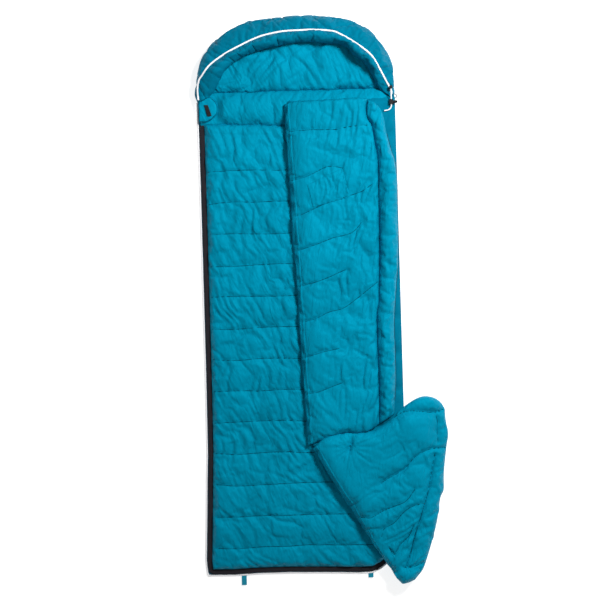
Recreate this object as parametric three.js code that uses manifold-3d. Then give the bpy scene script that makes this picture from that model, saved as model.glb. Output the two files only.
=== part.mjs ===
// Hooded rectangular down quilt that zips into a sleeping bag, lying open on the ground.
// Millimetres. +X is the sleeper's right, +Y points to the hood, +Z is up.
// The origin is on the underside, on the centre line, at the middle of the body.
// The base lies flat. The cover is sewn to its right side, and its zip half is folded back
// over itself, with the foot corner turned out past the right side.

import * as THREE from 'three';
import { mergeVertices } from 'three/addons/utils/BufferGeometryUtils.js';
import Module from 'manifold-3d';

const wasm = await Module();
wasm.setup();

// ---------- Driving dimensions ----------
const fit = 0.3;                     // gap kept between pieces that touch
const shellThick = 1.4;
const liningThick = 1.2;

const baseHalfWidth = 390;
const baseFootY = -1092;
const baseLoft = 32;                 // underside to lining, filled
const collarSeamY = 696;
const collarDepth = 138;
const collarLoft = 27;
const firstSeamY = 520;
const chamberPitch = 125;
const baseSeamCount = 13;
const baffleThick = 1.2;
const fillSlack = 1.5;               // air left above and below the down in a chamber

const hoodSpringY = 870;             // where the hood's outline starts to close in
const hoodRise = 270;
const hoodExponent = 2.3;
const pipingArch = { halfWidth: baseHalfWidth - 8, springY: 825, rise: 255 };
const rimArch = { halfWidth: baseHalfWidth - 34, springY: 800, rise: 226 };
const rimEndY = 892;                 // lower ends of the hood's raised rim
const hoodPanelHeight = 52;
const rimRollHeight = 66;
const pipingThick = 2.5;
const pipingHeight = 12;

const zipTapeWidth = 16.4;
const zipCoilWidth = 5;
const zipZ = 9;
const zipTapeThick = 1.2;
const zipCoilHeight = 3.2;
const zipEndX = 262;
const zipHemSetback = 5;             // bare hem between the coil and the piping at the foot
const topStop = { length: 6, setback: 2, height: 1.7 };
const retainerBox = { length: 12, inner: 4, wall: 1 };
const hemPipingHeight = 5;

const coverLoft = 27;
const layerGap = 1.5;
const coverTopY = 796;
const foldTopX = -36;
const foldKnee = { x: 22, y: -575 };
const footFoldEnd = { x: 330, y: baseFootY + 7 };
const foldClearance = 1.2;           // each half stops this far short of the fold
const coverRightX = baseHalfWidth - 2;
const coverHemY = baseFootY + 30;
const freeTopX = coverRightX - 72;   // zip side of the turned-back half, at its top
const freeKneeX = coverRightX - 22;  // and at the foot crease
const freeKneeY = -452;
const freeCorner = 58;               // the turned-back half's top corner is cut in by this much
const freeCornerDrop = 92.8;         // and starts this far below its top edge
const freeCornerShoulder = 17.4;
const coverCollarDepth = 108;
const coverPitch = 144;
const coverSeamCount = 8;
const coverWebThick = 3;             // lining-side layer of down left under each baffle
const draftTubeWidth = 26;
const draftTubeTopGap = 4;
const draftTubeFootGap = 40;
const coverTrimDrop = 2;             // collar and draft tube lie this far below the panel's top
const creaseGap = 6;

const loopWidth = 20;
const loopWall = 1.6;
const loopHeight = 8;
const hangLoops = [
  { name: 'hang_loop_left', x: -264, length: 40 },
  { name: 'hang_loop_right', x: 244, length: 24 },
];

const hookTabRadius = 50;
const hookTabY = 758;
const hookTabReach = 70;
const hookTabThick = 2;
const hookPatchSize = { width: 15, length: 45, thick: 1.8 };
const hookPatchTurn = 0.3;           // radians

const cordDiameter = 5;
const cordX = baseHalfWidth - 15;
const cordSides = 8;
const cordClearance = 0.4;
const cordPortSize = { width: 10, depth: 12, height: 10 };
const cordPortSetback = 8;           // the port's mouth lies this far below the collar's top edge
const cordLockSize = { width: 14, length: 20, height: 11 };
const cordLockY = 774;
const cordLockTravel = 10;
const plungerRadius = 3.6;
const plungerLength = 8;
const plungerTravel = 3;
const barrelWall = 2.2;
const barrelEnd = 1.5;               // closed end of the plunger's bore
const springTurns = 4;
const springSteps = 10;              // points of the wire in each turn
const springWire = 0.8;
const springRadius = 2.6;
const ringRadius = 8;
const ringWire = 1.6;

const sliderSize = { length: 20, width: 15, height: 9 };
const sliderX = 238;
const pullTabSize = { length: 30, width: 9, thick: 1.8 };

// ---------- Worked-out levels ----------
const chamberFloor = shellThick + fit;
const liningZ = baseLoft - liningThick;
const chamberRoof = liningZ - fit;
const coverFloor = baseLoft + layerGap;
const coverRoof = coverFloor + coverLoft;
const freeFloor = coverRoof + layerGap;
const freeRoof = freeFloor + coverLoft;
const collarTopY = collarSeamY + collarDepth;
const zipOuterX = -(baseHalfWidth - 2);
const padLeftX = zipOuterX + zipCoilWidth + zipTapeWidth + 2 * fit;
const padFootY = baseFootY + zipHemSetback + zipCoilWidth + zipTapeWidth + 2 * fit;
const padRightX = baseHalfWidth - 2;

// ---------- Finishes ----------
const finish = (color, roughness, metalness = 0) => (
  new THREE.MeshStandardMaterial({ color, roughness, metalness })
);
const shellCloth = finish(0x0687a9, 0.62);
const liningCloth = finish(0x0190b2, 0.55);
const downFill = finish(0xe8e6df, 0.95);
const baffleNet = finish(0xcfd8da, 0.8);
const zipBlack = finish(0x201e22, 0.6);
const pipingWhite = finish(0xf5f5f8, 0.5);
const blackPlastic = finish(0x151517, 0.35);
const springSteel = finish(0x9aa0a6, 0.3, 1);
const webbing = finish(0x0b7f9e, 0.7);

// ---------- Helpers ----------
const quilt = new THREE.Group();

function add(name, geometry, material) {
  const mesh = new THREE.Mesh(geometry, material);
  mesh.name = name;
  quilt.add(mesh);
  return mesh;
}

function outline(points) {
  return new THREE.Shape(points.map(([x, y]) => new THREE.Vector2(x, y)));
}

// A flat piece cut to an outline, between two levels.
function sheet(shape, fromZ, toZ) {
  const depth = toZ - fromZ;
  const geometry = new THREE.ExtrudeGeometry(shape, { depth, bevelEnabled: false, curveSegments: 8 });
  geometry.translate(0, 0, fromZ);
  return geometry;
}

function rectangle(x0, x1, y0, y1) {
  return outline([[x0, y0], [x1, y0], [x1, y1], [x0, y1]]);
}

function block(x0, x1, y0, y1, z0, z1) {
  return sheet(rectangle(x0, x1, y0, y1), z0, z1);
}

function toSolid(geometry) {
  const bare = geometry.index ? geometry.toNonIndexed() : geometry.clone();
  bare.deleteAttribute('normal');
  bare.deleteAttribute('uv');
  const merged = mergeVertices(bare, 1e-4);
  return new wasm.Manifold(new wasm.Mesh({
    numProp: 3,
    vertProperties: Float32Array.from(merged.attributes.position.array),
    triVerts: Uint32Array.from(merged.index.array),
  }));
}

function toGeometry(solid) {
  const mesh = solid.getMesh();
  const geometry = new THREE.BufferGeometry();
  geometry.setAttribute('position', new THREE.BufferAttribute(mesh.vertProperties, 3));
  geometry.setIndex(new THREE.BufferAttribute(mesh.triVerts, 1));
  geometry.computeVertexNormals();
  return geometry;
}

function cut(geometry, ...cutters) {
  let solid = toSolid(geometry);
  for (const cutter of cutters) {
    solid = solid.subtract(toSolid(cutter));
  }
  return toGeometry(solid);
}

// ---------- Outlines ----------
// Points of an arch from its right end over the crown to its left end, stopped at endY.
function archPoints({ halfWidth, springY, rise, exponent = 2 }, endY, inset = 0, steps = 28) {
  const a = halfWidth - inset;
  const b = rise - inset;
  const startSine = Math.max(0, (endY - springY) / b);
  const start = Math.asin(startSine ** (exponent / 2));
  const points = endY < springY ? [[a, endY]] : [];
  for (let i = 0; i <= steps; i += 1) {
    const t = start + (Math.PI - 2 * start) * (i / steps);
    const cosine = Math.cos(t);
    points.push([
      Math.sign(cosine) * a * Math.abs(cosine) ** (2 / exponent),
      springY + b * Math.sin(t) ** (2 / exponent),
    ]);
  }
  if (endY < springY) {
    points.push([-a, endY]);
  }
  return points;
}

const hoodArch = { halfWidth: baseHalfWidth, springY: hoodSpringY, rise: hoodRise, exponent: hoodExponent };

// The crescent between two arches, open towards the foot.
function crescent(outer, outerInset, inner, innerInset) {
  const inside = archPoints(inner, rimEndY, innerInset).reverse();
  return outline([...archPoints(outer, rimEndY, outerInset), ...inside]);
}

// A band that runs down the left side and turns along the foot.
function cornerBand(outerX, outerY, width, topY, endX) {
  return outline([
    [outerX, topY],
    [outerX, outerY],
    [endX, outerY],
    [endX, outerY + width],
    [outerX + width, outerY + width],
    [outerX + width, topY],
  ]);
}

function foldXAt(y) {
  return foldTopX + (foldKnee.x - foldTopX) * (coverTopY - y) / (coverTopY - foldKnee.y);
}

// Point beside the foot fold: along is 0 at the knee and 1 at the hem, away is to the right of it.
function besideFootFold(along, away) {
  const dx = footFoldEnd.x - foldKnee.x;
  const dy = footFoldEnd.y - foldKnee.y;
  const length = Math.hypot(dx, dy);
  return [
    foldKnee.x + dx * along - (dy / length) * away,
    foldKnee.y + dy * along + (dx / length) * away,
  ];
}

const kneePoint = [foldKnee.x + foldClearance, foldKnee.y + foldClearance];
const hemAlong = (foldKnee.y - coverHemY) / (foldKnee.y - footFoldEnd.y);

const creaseRise = (freeKneeY - foldKnee.y) / (freeKneeX - foldKnee.x);

// Outline of the turned-back half, drawn in by an inset on its free sides.
function freeOutline(inset = 0, topY = coverTopY) {
  const slope = (freeKneeX - freeTopX) / (coverTopY - freeKneeY);
  const rightAt = (y) => freeTopX + slope * (coverTopY - y) - inset;
  const top = topY - inset;
  const cornerEnd = coverTopY - freeCornerDrop - inset;
  const creaseAt = (x) => foldKnee.y + (x - foldKnee.x) * creaseRise + creaseGap + inset;
  const right = rightAt(freeKneeY);
  const foldX = (y) => foldXAt(y) + foldClearance + inset;
  const low = creaseAt(foldX(foldKnee.y));
  const points = [[foldX(low), low], [right, creaseAt(right)]];
  if (top > cornerEnd) {
    points.push([rightAt(cornerEnd), cornerEnd]);
    points.push([rightAt(coverTopY) - freeCornerShoulder, cornerEnd + freeCorner]);
    points.push([rightAt(coverTopY) - freeCorner, top]);
  } else {
    points.push([rightAt(top), top]);
  }
  points.push([foldX(top), top]);
  return outline(points);
}

// Outline of the half that lies on the base, from the fold to the right side.
function fixedOutline(inset = 0) {
  const hem = besideFootFold(hemAlong, foldClearance + inset);
  const top = coverTopY - inset;
  return outline([
    [foldXAt(top) + foldClearance + inset, top],
    [kneePoint[0] + inset, kneePoint[1]],
    [hem[0], coverHemY + inset],
    [coverRightX - inset, coverHemY + inset],
    [coverRightX - inset, top],
  ]);
}

// Outline of the turned-out foot corner: fold, foot hem and the bunched top edge.
function footOutline(inset = 0) {
  const away = foldClearance + inset;
  const shape = new THREE.Shape();
  const start = besideFootFold(0.035, away);
  const end = besideFootFold(1, away);
  const crease = foldKnee.y + (freeKneeX - foldKnee.x) * creaseRise - creaseGap / 2 - inset;
  const turned = [
    new THREE.Vector2(395, baseFootY - 40 + inset),
    new THREE.Vector2(coverRightX + 56 - inset, baseFootY + 12),
    new THREE.Vector2(coverRightX + 100 - inset, baseFootY + 132),
    new THREE.Vector2(coverRightX + 145 - inset, -780),
    new THREE.Vector2(coverRightX + 170 - inset, -600),
    new THREE.Vector2(coverRightX + 180 - inset, -510),
    new THREE.Vector2(coverRightX + 168 - inset, -420 - inset),
    new THREE.Vector2(coverRightX + 120, -386 - inset),
    new THREE.Vector2(coverRightX + 67, -396 - inset),
  ];
  shape.moveTo(start[0], start[1]);
  shape.lineTo(end[0], end[1]);
  shape.lineTo(362 + inset, baseFootY - 36 + inset);
  shape.splineThru(turned);
  shape.lineTo(freeKneeX + 4, crease);
  shape.closePath();
  return shape;
}

// ---------- Base: shell, chambers of down, lining ----------
function baseShell() {
  const arch = archPoints(hoodArch, collarTopY);
  const shape = outline([[-baseHalfWidth, baseFootY], [baseHalfWidth, baseFootY], ...arch]);
  add('base_shell', sheet(shape, 0, shellThick), shellCloth);
  const lining = rectangle(padLeftX, padRightX, padFootY, collarSeamY);
  add('base_lining', sheet(lining, liningZ, baseLoft), liningCloth);
}

function baseChambers() {
  const seams = [collarSeamY - baffleThick];
  for (let i = 0; i < baseSeamCount; i += 1) {
    seams.push(firstSeamY - i * chamberPitch);
  }
  seams.push(padFootY + baffleThick);
  const net = rectangle(padLeftX, padRightX, padFootY, collarSeamY);
  for (let i = 0; i + 1 < seams.length; i += 1) {
    const top = seams[i] - (i === 0 ? 0 : baffleThick / 2);
    const low = seams[i + 1] + (i + 2 === seams.length ? 0 : baffleThick / 2);
    const x0 = padLeftX + baffleThick;
    const x1 = padRightX - baffleThick;
    net.holes.push(new THREE.Path(rectangle(x0, x1, low, top).getPoints()));
    const down = block(
      x0 + fit, x1 - fit, low + fit, top - fit,
      chamberFloor + fillSlack, chamberRoof - fillSlack,
    );
    add(`base_down_${String(i + 1).padStart(2, '0')}`, down, downFill);
  }
  add('base_baffles', sheet(net, chamberFloor, chamberRoof), baffleNet);
}

function baseCollar() {
  const shape = rectangle(-(baseHalfWidth - 4), padRightX, collarSeamY + fit, collarTopY);
  add('base_collar', sheet(shape, chamberFloor, collarLoft), liningCloth);
}

// ---------- Hood: back panel on the base, raised rim, piping ----------
function hoodBack() {
  const edge = collarTopY + fit;
  const lining = outline(archPoints(hoodArch, edge, 4));
  add('hood_back_lining', sheet(lining, liningZ, baseLoft), liningCloth);
  const down = outline(archPoints(hoodArch, edge, 10));
  add('hood_back_down', sheet(down, chamberFloor + fillSlack, chamberRoof - fillSlack), downFill);
}

function hoodRim() {
  const floor = baseLoft + layerGap;
  const panel = crescent(hoodArch, 0, pipingArch, -fit);
  add('hood_outer_panel', sheet(panel, floor, floor + hoodPanelHeight), shellCloth);
  const roll = crescent(pipingArch, pipingThick + fit, rimArch, 0);
  add('hood_rim_roll', sheet(roll, floor, floor + rimRollHeight), shellCloth);
  const top = floor + hoodPanelHeight + pipingHeight / 2;
  const piping = crescent(pipingArch, 0, pipingArch, pipingThick);
  add('hood_piping', sheet(piping, top - pipingHeight, top), pipingWhite);
}

// ---------- Zip on the base, piping round its edge ----------
function baseZip() {
  const coilY = baseFootY + zipHemSetback;
  const coil = cornerBand(zipOuterX, coilY, zipCoilWidth, collarSeamY, zipEndX);
  const coilFloor = zipZ - (zipCoilHeight - zipTapeThick) / 2;
  add('zip_coil_base', sheet(coil, coilFloor, coilFloor + zipCoilHeight), zipBlack);
  const tapeX = zipOuterX + zipCoilWidth + fit;
  const tapeY = coilY + zipCoilWidth + fit;
  const tape = cornerBand(tapeX, tapeY, zipTapeWidth, collarSeamY, zipEndX);
  add('zip_tape_base', sheet(tape, zipZ, zipZ + zipTapeThick), zipBlack);
  const stopTop = collarSeamY + fit - topStop.setback;
  const stopFloor = coilFloor + zipCoilHeight + fit;
  const stop = block(
    zipOuterX, zipOuterX + zipCoilWidth,
    stopTop - topStop.length, stopTop,
    stopFloor, stopFloor + topStop.height,
  );
  add('zip_top_stop', stop, blackPlastic);
  const { length, inner, wall } = retainerBox;
  const box = block(
    zipEndX + fit, zipEndX + length, coilY - wall, coilY + zipCoilWidth + inner,
    coilFloor - wall, coilFloor + zipCoilHeight + wall,
  );
  add('zip_retainer_box', box, blackPlastic);
  const outer = baseHalfWidth + fit + pipingThick;
  const piping = cornerBand(-outer, baseFootY - fit - pipingThick, pipingThick, collarSeamY, zipEndX);
  add('base_piping', sheet(piping, shellThick, shellThick + hemPipingHeight), pipingWhite);
}

// ---------- Cover: the half on the base and the half turned back ----------
function coverSeams() {
  const seams = [];
  for (let i = 0; i < coverSeamCount; i += 1) {
    seams.push(coverTopY - coverCollarDepth - i * coverPitch);
  }
  return seams;
}

// Shell, lining, baffle net and down of one half, between two levels.
// side is 1 when the lining is on top and -1 when it is underneath.
function quiltedHalf(prefix, shapeAt, floor, roof, side, lowestSeam) {
  const shellFloor = side > 0 ? floor : roof - shellThick;
  const liningFloor = side > 0 ? roof - liningThick : floor;
  add(`${prefix}_shell`, sheet(shapeAt(0), shellFloor, shellFloor + shellThick), shellCloth);
  add(`${prefix}_lining`, sheet(shapeAt(0), liningFloor, liningFloor + liningThick), liningCloth);
  const low = floor + fit + (side > 0 ? shellThick : liningThick);
  const high = roof - fit - (side > 0 ? liningThick : shellThick);
  const seams = coverSeams().filter((y) => y > lowestSeam);
  const reach = 2 * baseHalfWidth;
  const webFloor = low + coverWebThick;
  // The down is one batt, slit from above where each baffle stands.
  const slits = seams.map((y) => (
    block(-reach, reach, y - baffleThick / 2 - fit, y + baffleThick / 2 + fit, webFloor, roof + 1)
  ));
  const batt = sheet(shapeAt(baffleThick + 2 * fit), low + fit, high - fillSlack);
  add(`${prefix}_down`, cut(batt, ...slits), downFill);
  // The net is a rim wall with a cross wall at each seam.
  const rimOuter = toSolid(sheet(shapeAt(fit), webFloor + fit, high));
  let hollow = toSolid(sheet(shapeAt(fit + baffleThick), webFloor - 1, high + 1));
  for (const y of seams) {
    const wall = block(-reach, reach, y - baffleThick / 2, y + baffleThick / 2, low - 2, high + 2);
    hollow = hollow.subtract(toSolid(wall));
  }
  add(`${prefix}_baffles`, toGeometry(rimOuter.subtract(hollow)), baffleNet);
}

function coverFixed() {
  quiltedHalf('cover_fixed', fixedOutline, coverFloor, coverRoof, -1, coverHemY + 40);
}

function coverFree() {
  const collarSeam = coverTopY - coverCollarDepth;
  const body = (inset) => freeOutline(inset, collarSeam - fit);
  quiltedHalf('cover_free', body, freeFloor, freeRoof, 1, foldKnee.y + 200);
  const collar = toSolid(sheet(freeOutline(0), freeFloor, freeRoof - coverTrimDrop));
  const reach = 2 * baseHalfWidth;
  const below = block(-reach, reach, 2 * baseFootY, collarSeam, freeFloor - 1, freeRoof + 1);
  add('cover_collar', toGeometry(collar.subtract(toSolid(below))), liningCloth);
}

// Draft tube, zip tape and coil along the cover's zip side, outside the quilted half.
function coverZip() {
  const slope = (freeKneeX - freeTopX) / (coverTopY - freeKneeY);
  const top = coverTopY - freeCornerDrop - draftTubeTopGap;
  const low = freeKneeY + draftTubeFootGap;
  const strip = (from, to) => outline([
    [freeTopX + slope * (coverTopY - low) + from, low],
    [freeTopX + slope * (coverTopY - low) + to, low],
    [freeTopX + slope * (coverTopY - top) + to, top],
    [freeTopX + slope * (coverTopY - top) + from, top],
  ]);
  const tubeFloor = freeFloor + zipCoilHeight + 1.5;
  add('cover_draft_tube', sheet(strip(fit, draftTubeWidth), tubeFloor, freeRoof - coverTrimDrop), liningCloth);
  add('zip_tape_cover', sheet(strip(fit, zipTapeWidth), freeFloor, freeFloor + zipTapeThick), zipBlack);
  const coil = strip(zipTapeWidth + fit, zipTapeWidth + zipCoilWidth);
  add('zip_coil_cover', sheet(coil, freeFloor, freeFloor + zipCoilHeight), zipBlack);
}

// Foot corner turned out to the right, on the slanting foot fold.
function footCorner() {
  add('foot_shell', sheet(footOutline(0), freeFloor, freeFloor + shellThick), shellCloth);
  const low = freeFloor + shellThick + fit;
  const high = freeRoof - liningThick - fit;
  add('foot_down', sheet(footOutline(5), low + fillSlack, high - fillSlack), downFill);
  add('foot_lining', sheet(footOutline(0), freeRoof - liningThick, freeRoof), liningCloth);
}

// ---------- Small parts ----------
function hangLoopPieces() {
  for (const { name, x, length } of hangLoops) {
    const top = baseFootY - fit - pipingThick - fit;
    const profile = outline([[0, 0], [length, 0], [length, loopHeight], [0, loopHeight]]);
    const inner = outline([
      [loopWall, loopWall], [length - loopWall, loopWall],
      [length - loopWall, loopHeight - loopWall], [loopWall, loopHeight - loopWall],
    ]);
    profile.holes.push(new THREE.Path(inner.getPoints()));
    const strap = new THREE.ExtrudeGeometry(profile, { depth: loopWidth, bevelEnabled: false });
    strap.rotateX(Math.PI / 2);
    strap.rotateZ(-Math.PI / 2);
    strap.translate(x + loopWidth / 2, top, 0);
    add(name, strap, webbing);
  }
}

// Rounded tab with a hook patch, hinged on the left edge beside the collar.
function hookTab() {
  const tab = new THREE.Shape();
  const rootX = zipOuterX + fit;
  tab.moveTo(rootX, hookTabY - hookTabRadius);
  tab.lineTo(rootX + hookTabReach - hookTabRadius, hookTabY - hookTabRadius);
  tab.absarc(rootX + hookTabReach - hookTabRadius, hookTabY, hookTabRadius, -Math.PI / 2, Math.PI / 2, false);
  tab.lineTo(rootX, hookTabY + hookTabRadius);
  tab.closePath();
  const tabFloor = collarLoft + fit;
  add('hook_tab', sheet(tab, tabFloor, tabFloor + hookTabThick), liningCloth);
  const { width, length, thick } = hookPatchSize;
  const patch = new THREE.BoxGeometry(width, length, thick);
  const patchFloor = tabFloor + hookTabThick + fit;
  const mesh = add('hook_patch', patch, zipBlack);
  mesh.rotation.z = hookPatchTurn;
  mesh.position.set(rootX + hookTabReach / 2 - 2, hookTabY, patchFloor + thick / 2);
}

const cordZ = coverRoof + layerGap + cordLockSize.height / 2 + 1;
const portY = collarTopY - cordPortSetback;
const cordRest = coverRoof + cordDiameter / 2 + layerGap;

// Centre line of the free drawcord, from its port to the knotted tail.
const cordRoute = [
  [cordX, portY, cordZ],
  [cordX, portY - 9, cordZ],
  [cordX, portY - 18, cordZ],
  [cordX, portY - 27, cordZ],
  [cordX, portY - 36, cordZ],
  [cordX, portY - 45, cordZ],
  [cordX, portY - 54, cordZ],
  [cordX, portY - 62, cordZ],
  [cordX - 0.6, portY - 69, cordZ - 0.6],
  [cordX - 3, portY - 75.5, cordZ - 1.8],
  [cordX - 7, portY - 80, cordZ - 2.9],
  [cordX - 12, portY - 83, cordZ - 3.6],
  [cordX - 17.5, portY - 84.6, cordRest],
  [cordX - 23, portY - 85.4, cordRest],
  [cordX - 29, portY - 85.8, cordRest],
];

function drawcord() {
  const curve = new THREE.CatmullRomCurve3(cordRoute.map((p) => new THREE.Vector3(...p)));
  const section = new THREE.Shape();
  for (let i = 0; i < cordSides; i += 1) {
    const angle = (i + 0.5) * 2 * Math.PI / cordSides;
    const x = Math.cos(angle) * cordDiameter / 2;
    const y = Math.sin(angle) * cordDiameter / 2;
    if (i === 0) {
      section.moveTo(x, y);
    } else {
      section.lineTo(x, y);
    }
  }
  section.closePath();
  add('drawcord', new THREE.ExtrudeGeometry(section, { steps: 26, extrudePath: curve }), pipingWhite);
  const { width, depth, height } = cordPortSize;
  const port = block(
    cordX - width / 2, cordX + width / 2, portY + fit, portY + depth,
    baseLoft + fit, cordZ + height / 2,
  );
  add('cord_port', port, blackPlastic);
}

// Barrel lock on the drawcord: body, sprung plunger and the spring in its bore.
function cordLock() {
  const { width, length, height } = cordLockSize;
  const floor = coverRoof + layerGap;
  const plungerZ = floor + height / 2 + 1;
  const body = block(
    cordX - width / 2, cordX + width / 2, cordLockY - length / 2, cordLockY + length / 2,
    floor, floor + height + 2,
  );
  const passage = new THREE.CylinderGeometry(
    cordDiameter / 2 + cordClearance, cordDiameter / 2 + cordClearance, length + 4, 16,
  );
  passage.translate(cordX, cordLockY, cordZ);
  add('cord_lock_body', cut(body, passage), blackPlastic);
  const barrelOuter = plungerRadius + barrelWall;
  const barrelLength = plungerLength + 6;
  const barrelX = cordX + width / 2 + fit;
  const barrel = new THREE.CylinderGeometry(barrelOuter, barrelOuter, barrelLength, 20);
  barrel.rotateZ(Math.PI / 2);
  barrel.translate(barrelX + barrelLength / 2, cordLockY, plungerZ);
  const boreRadius = plungerRadius + fit;
  const bore = new THREE.CylinderGeometry(boreRadius, boreRadius, barrelLength, 20);
  bore.rotateZ(Math.PI / 2);
  bore.translate(barrelX + barrelLength / 2 + barrelEnd, cordLockY, plungerZ);
  add('cord_lock_barrel', cut(barrel, bore), blackPlastic);
  const plunger = new THREE.CylinderGeometry(plungerRadius, plungerRadius, plungerLength, 20);
  plunger.rotateZ(Math.PI / 2);
  const plungerX = barrelX + barrelLength - plungerLength / 2 + plungerTravel;
  plunger.translate(plungerX, cordLockY, plungerZ);
  add('cord_lock_plunger', plunger, blackPlastic);
  const springFrom = barrelX + barrelEnd + springWire;
  const springTo = plungerX - plungerLength / 2 - springWire;
  const turns = [];
  for (let i = 0; i <= springTurns * springSteps; i += 1) {
    const angle = i * 2 * Math.PI / springSteps;
    turns.push(new THREE.Vector3(
      springFrom + (springTo - springFrom) * i / (springTurns * springSteps),
      cordLockY + springRadius * Math.cos(angle),
      plungerZ + springRadius * Math.sin(angle),
    ));
  }
  const wire = new THREE.Shape();
  wire.absarc(0, 0, springWire / 2, 0, 2 * Math.PI, false);
  const spring = new THREE.ExtrudeGeometry(wire, {
    steps: springTurns * springSteps,
    curveSegments: 6,
    extrudePath: new THREE.CatmullRomCurve3(turns),
  });
  add('cord_lock_spring', spring, springSteel);
  const ring = new THREE.TorusGeometry(ringRadius, ringWire, 8, 20);
  const ringOuter = ringRadius + ringWire;
  ring.translate(
    cordX + width / 2 + 1 + ringOuter,
    cordLockY + cordLockTravel + barrelOuter + 3 + ringOuter,
    collarLoft + fit + ringWire,
  );
  add('cord_anchor_ring', ring, blackPlastic);
}

// Slider on the foot run of the zip, with its pull tab lying along the tape.
function zipSlider() {
  const { length, width, height } = sliderSize;
  const coilY = baseFootY + zipHemSetback;
  const middleZ = zipZ + zipTapeThick / 2;
  const shell = block(
    sliderX - length / 2, sliderX + length / 2, coilY - 4, coilY - 4 + width,
    middleZ - height / 2, middleZ + height / 2,
  );
  const slotHalf = zipCoilHeight / 2 + fit + 0.3;
  const slot = block(
    sliderX - length, sliderX + length, coilY - 1, coilY + width,
    middleZ - slotHalf, middleZ + slotHalf,
  );
  add('zip_slider', cut(shell, slot), blackPlastic);
  const tab = pullTabSize;
  const tabFloor = middleZ + height / 2 + fit;
  const pull = block(
    sliderX - tab.length, sliderX, coilY - 4 + (width - tab.width) / 2, coilY - 4 + (width + tab.width) / 2,
    tabFloor, tabFloor + tab.thick,
  );
  add('zip_pull_tab', pull, zipBlack);
}

// Patch pocket sewn on the turned-back half's lining.
function pocket() {
  const shape = outline([[35, 560], [60, 568], [200, 612], [186, 676], [30, 648]]);
  add('lining_pocket', sheet(shape, freeRoof + fit, freeRoof + fit + 0.9), liningCloth);
}

baseShell();
baseChambers();
baseCollar();
hoodBack();
hoodRim();
baseZip();
coverFixed();
coverFree();
coverZip();
footCorner();
hangLoopPieces();
hookTab();
drawcord();
cordLock();
zipSlider();
pocket();

export default quilt;
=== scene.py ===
# A hooded rectangular down quilt lying open on a pale floor, in metres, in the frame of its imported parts.
import math

import bpy
import mathutils
import numpy as np
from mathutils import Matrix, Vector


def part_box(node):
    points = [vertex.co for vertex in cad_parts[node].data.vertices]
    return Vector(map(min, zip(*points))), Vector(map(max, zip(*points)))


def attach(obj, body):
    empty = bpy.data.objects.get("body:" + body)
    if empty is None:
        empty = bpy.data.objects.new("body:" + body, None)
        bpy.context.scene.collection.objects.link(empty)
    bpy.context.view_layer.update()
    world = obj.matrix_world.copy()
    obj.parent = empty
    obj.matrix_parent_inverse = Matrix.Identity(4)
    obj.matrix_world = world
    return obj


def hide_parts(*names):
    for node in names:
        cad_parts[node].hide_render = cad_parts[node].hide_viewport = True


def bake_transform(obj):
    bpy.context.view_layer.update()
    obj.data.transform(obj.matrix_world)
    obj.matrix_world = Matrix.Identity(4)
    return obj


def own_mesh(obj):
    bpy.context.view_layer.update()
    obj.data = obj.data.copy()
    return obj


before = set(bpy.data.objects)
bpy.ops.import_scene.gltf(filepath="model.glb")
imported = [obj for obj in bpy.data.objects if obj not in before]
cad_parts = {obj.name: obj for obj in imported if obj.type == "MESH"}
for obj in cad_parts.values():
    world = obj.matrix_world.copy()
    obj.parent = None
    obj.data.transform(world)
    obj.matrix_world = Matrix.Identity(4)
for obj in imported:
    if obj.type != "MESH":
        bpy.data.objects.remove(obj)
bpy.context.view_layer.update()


# ---------------------------------------------------------------- Camera
# The quilt is seen from straight above by a long lens, turned a little against the quilt's length.
scene = bpy.context.scene
scene.view_settings.view_transform = "Standard"
camera = bpy.data.objects.new("camera", bpy.data.cameras.new("camera"))
camera.data.lens = 75
camera.data.sensor_width = 36
camera.location = (-0.0086, 0.0, 5.015)
camera.rotation_euler = (0, 0, -math.radians(1.65))
scene.collection.objects.link(camera)
scene.camera = camera


# ---------------------------------------------------------------- Drawcord
# White flat-woven shock cord, 5 mm across. It leaves its port on the hood's right end, runs through
# the barrel lock and ends in a knotted tail on the cover's shoulder.
CORD_DIAMETER = 0.005
CORD_X = 0.375
CORD_Z = 0.0685
TAIL_Z = 0.0645
PORT_Y = 0.826
CORD_ROUTE = [
    (CORD_X, PORT_Y, CORD_Z),
    (CORD_X, PORT_Y - 0.009, CORD_Z),
    (CORD_X, 0.808, CORD_Z),
    (CORD_X, 0.799, CORD_Z),
    (CORD_X, 0.790, CORD_Z),
    (CORD_X, 0.781, CORD_Z),
    (CORD_X, 0.772, CORD_Z),
    (CORD_X, 0.764, CORD_Z),
    (CORD_X - 0.0006, 0.757, CORD_Z - 0.0006),
    (CORD_X - 0.0030, 0.7505, CORD_Z - 0.0018),
    (CORD_X - 0.0070, 0.746, CORD_Z - 0.0029),
    (CORD_X - 0.0120, 0.743, CORD_Z - 0.0036),
    (CORD_X - 0.0175, 0.7414, TAIL_Z),
    (CORD_X - 0.0230, 0.7406, TAIL_Z),
    (CORD_X - 0.0290, 0.7402, TAIL_Z),
]


def link(name, data):
    """A new object for this data, at the origin."""
    made = bpy.data.objects.new(name, data)
    scene.collection.objects.link(made)
    return made


def mesh_object(name, points, faces, materials, face_slots=None, smooth=True):
    """A mesh object from plain lists or arrays. smooth may be given face by face."""
    mesh = bpy.data.meshes.new(name)
    mesh.from_pydata(np.asarray(points, dtype=float).tolist(), [], [tuple(map(int, f)) for f in faces])
    for material in materials:
        mesh.materials.append(material)
    if face_slots is not None:
        mesh.polygons.foreach_set("material_index", np.asarray(face_slots, dtype=np.int32))
    mesh.polygons.foreach_set("use_smooth", np.full(len(mesh.polygons), smooth))
    mesh.update()
    return link(name, mesh)


def new_material(name):
    """A material with its Principled shader and output already joined."""
    material = bpy.data.materials.new(name)
    material.use_nodes = True
    nodes = material.node_tree.nodes
    return material, nodes, material.node_tree.links, nodes["Principled BSDF"]


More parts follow.
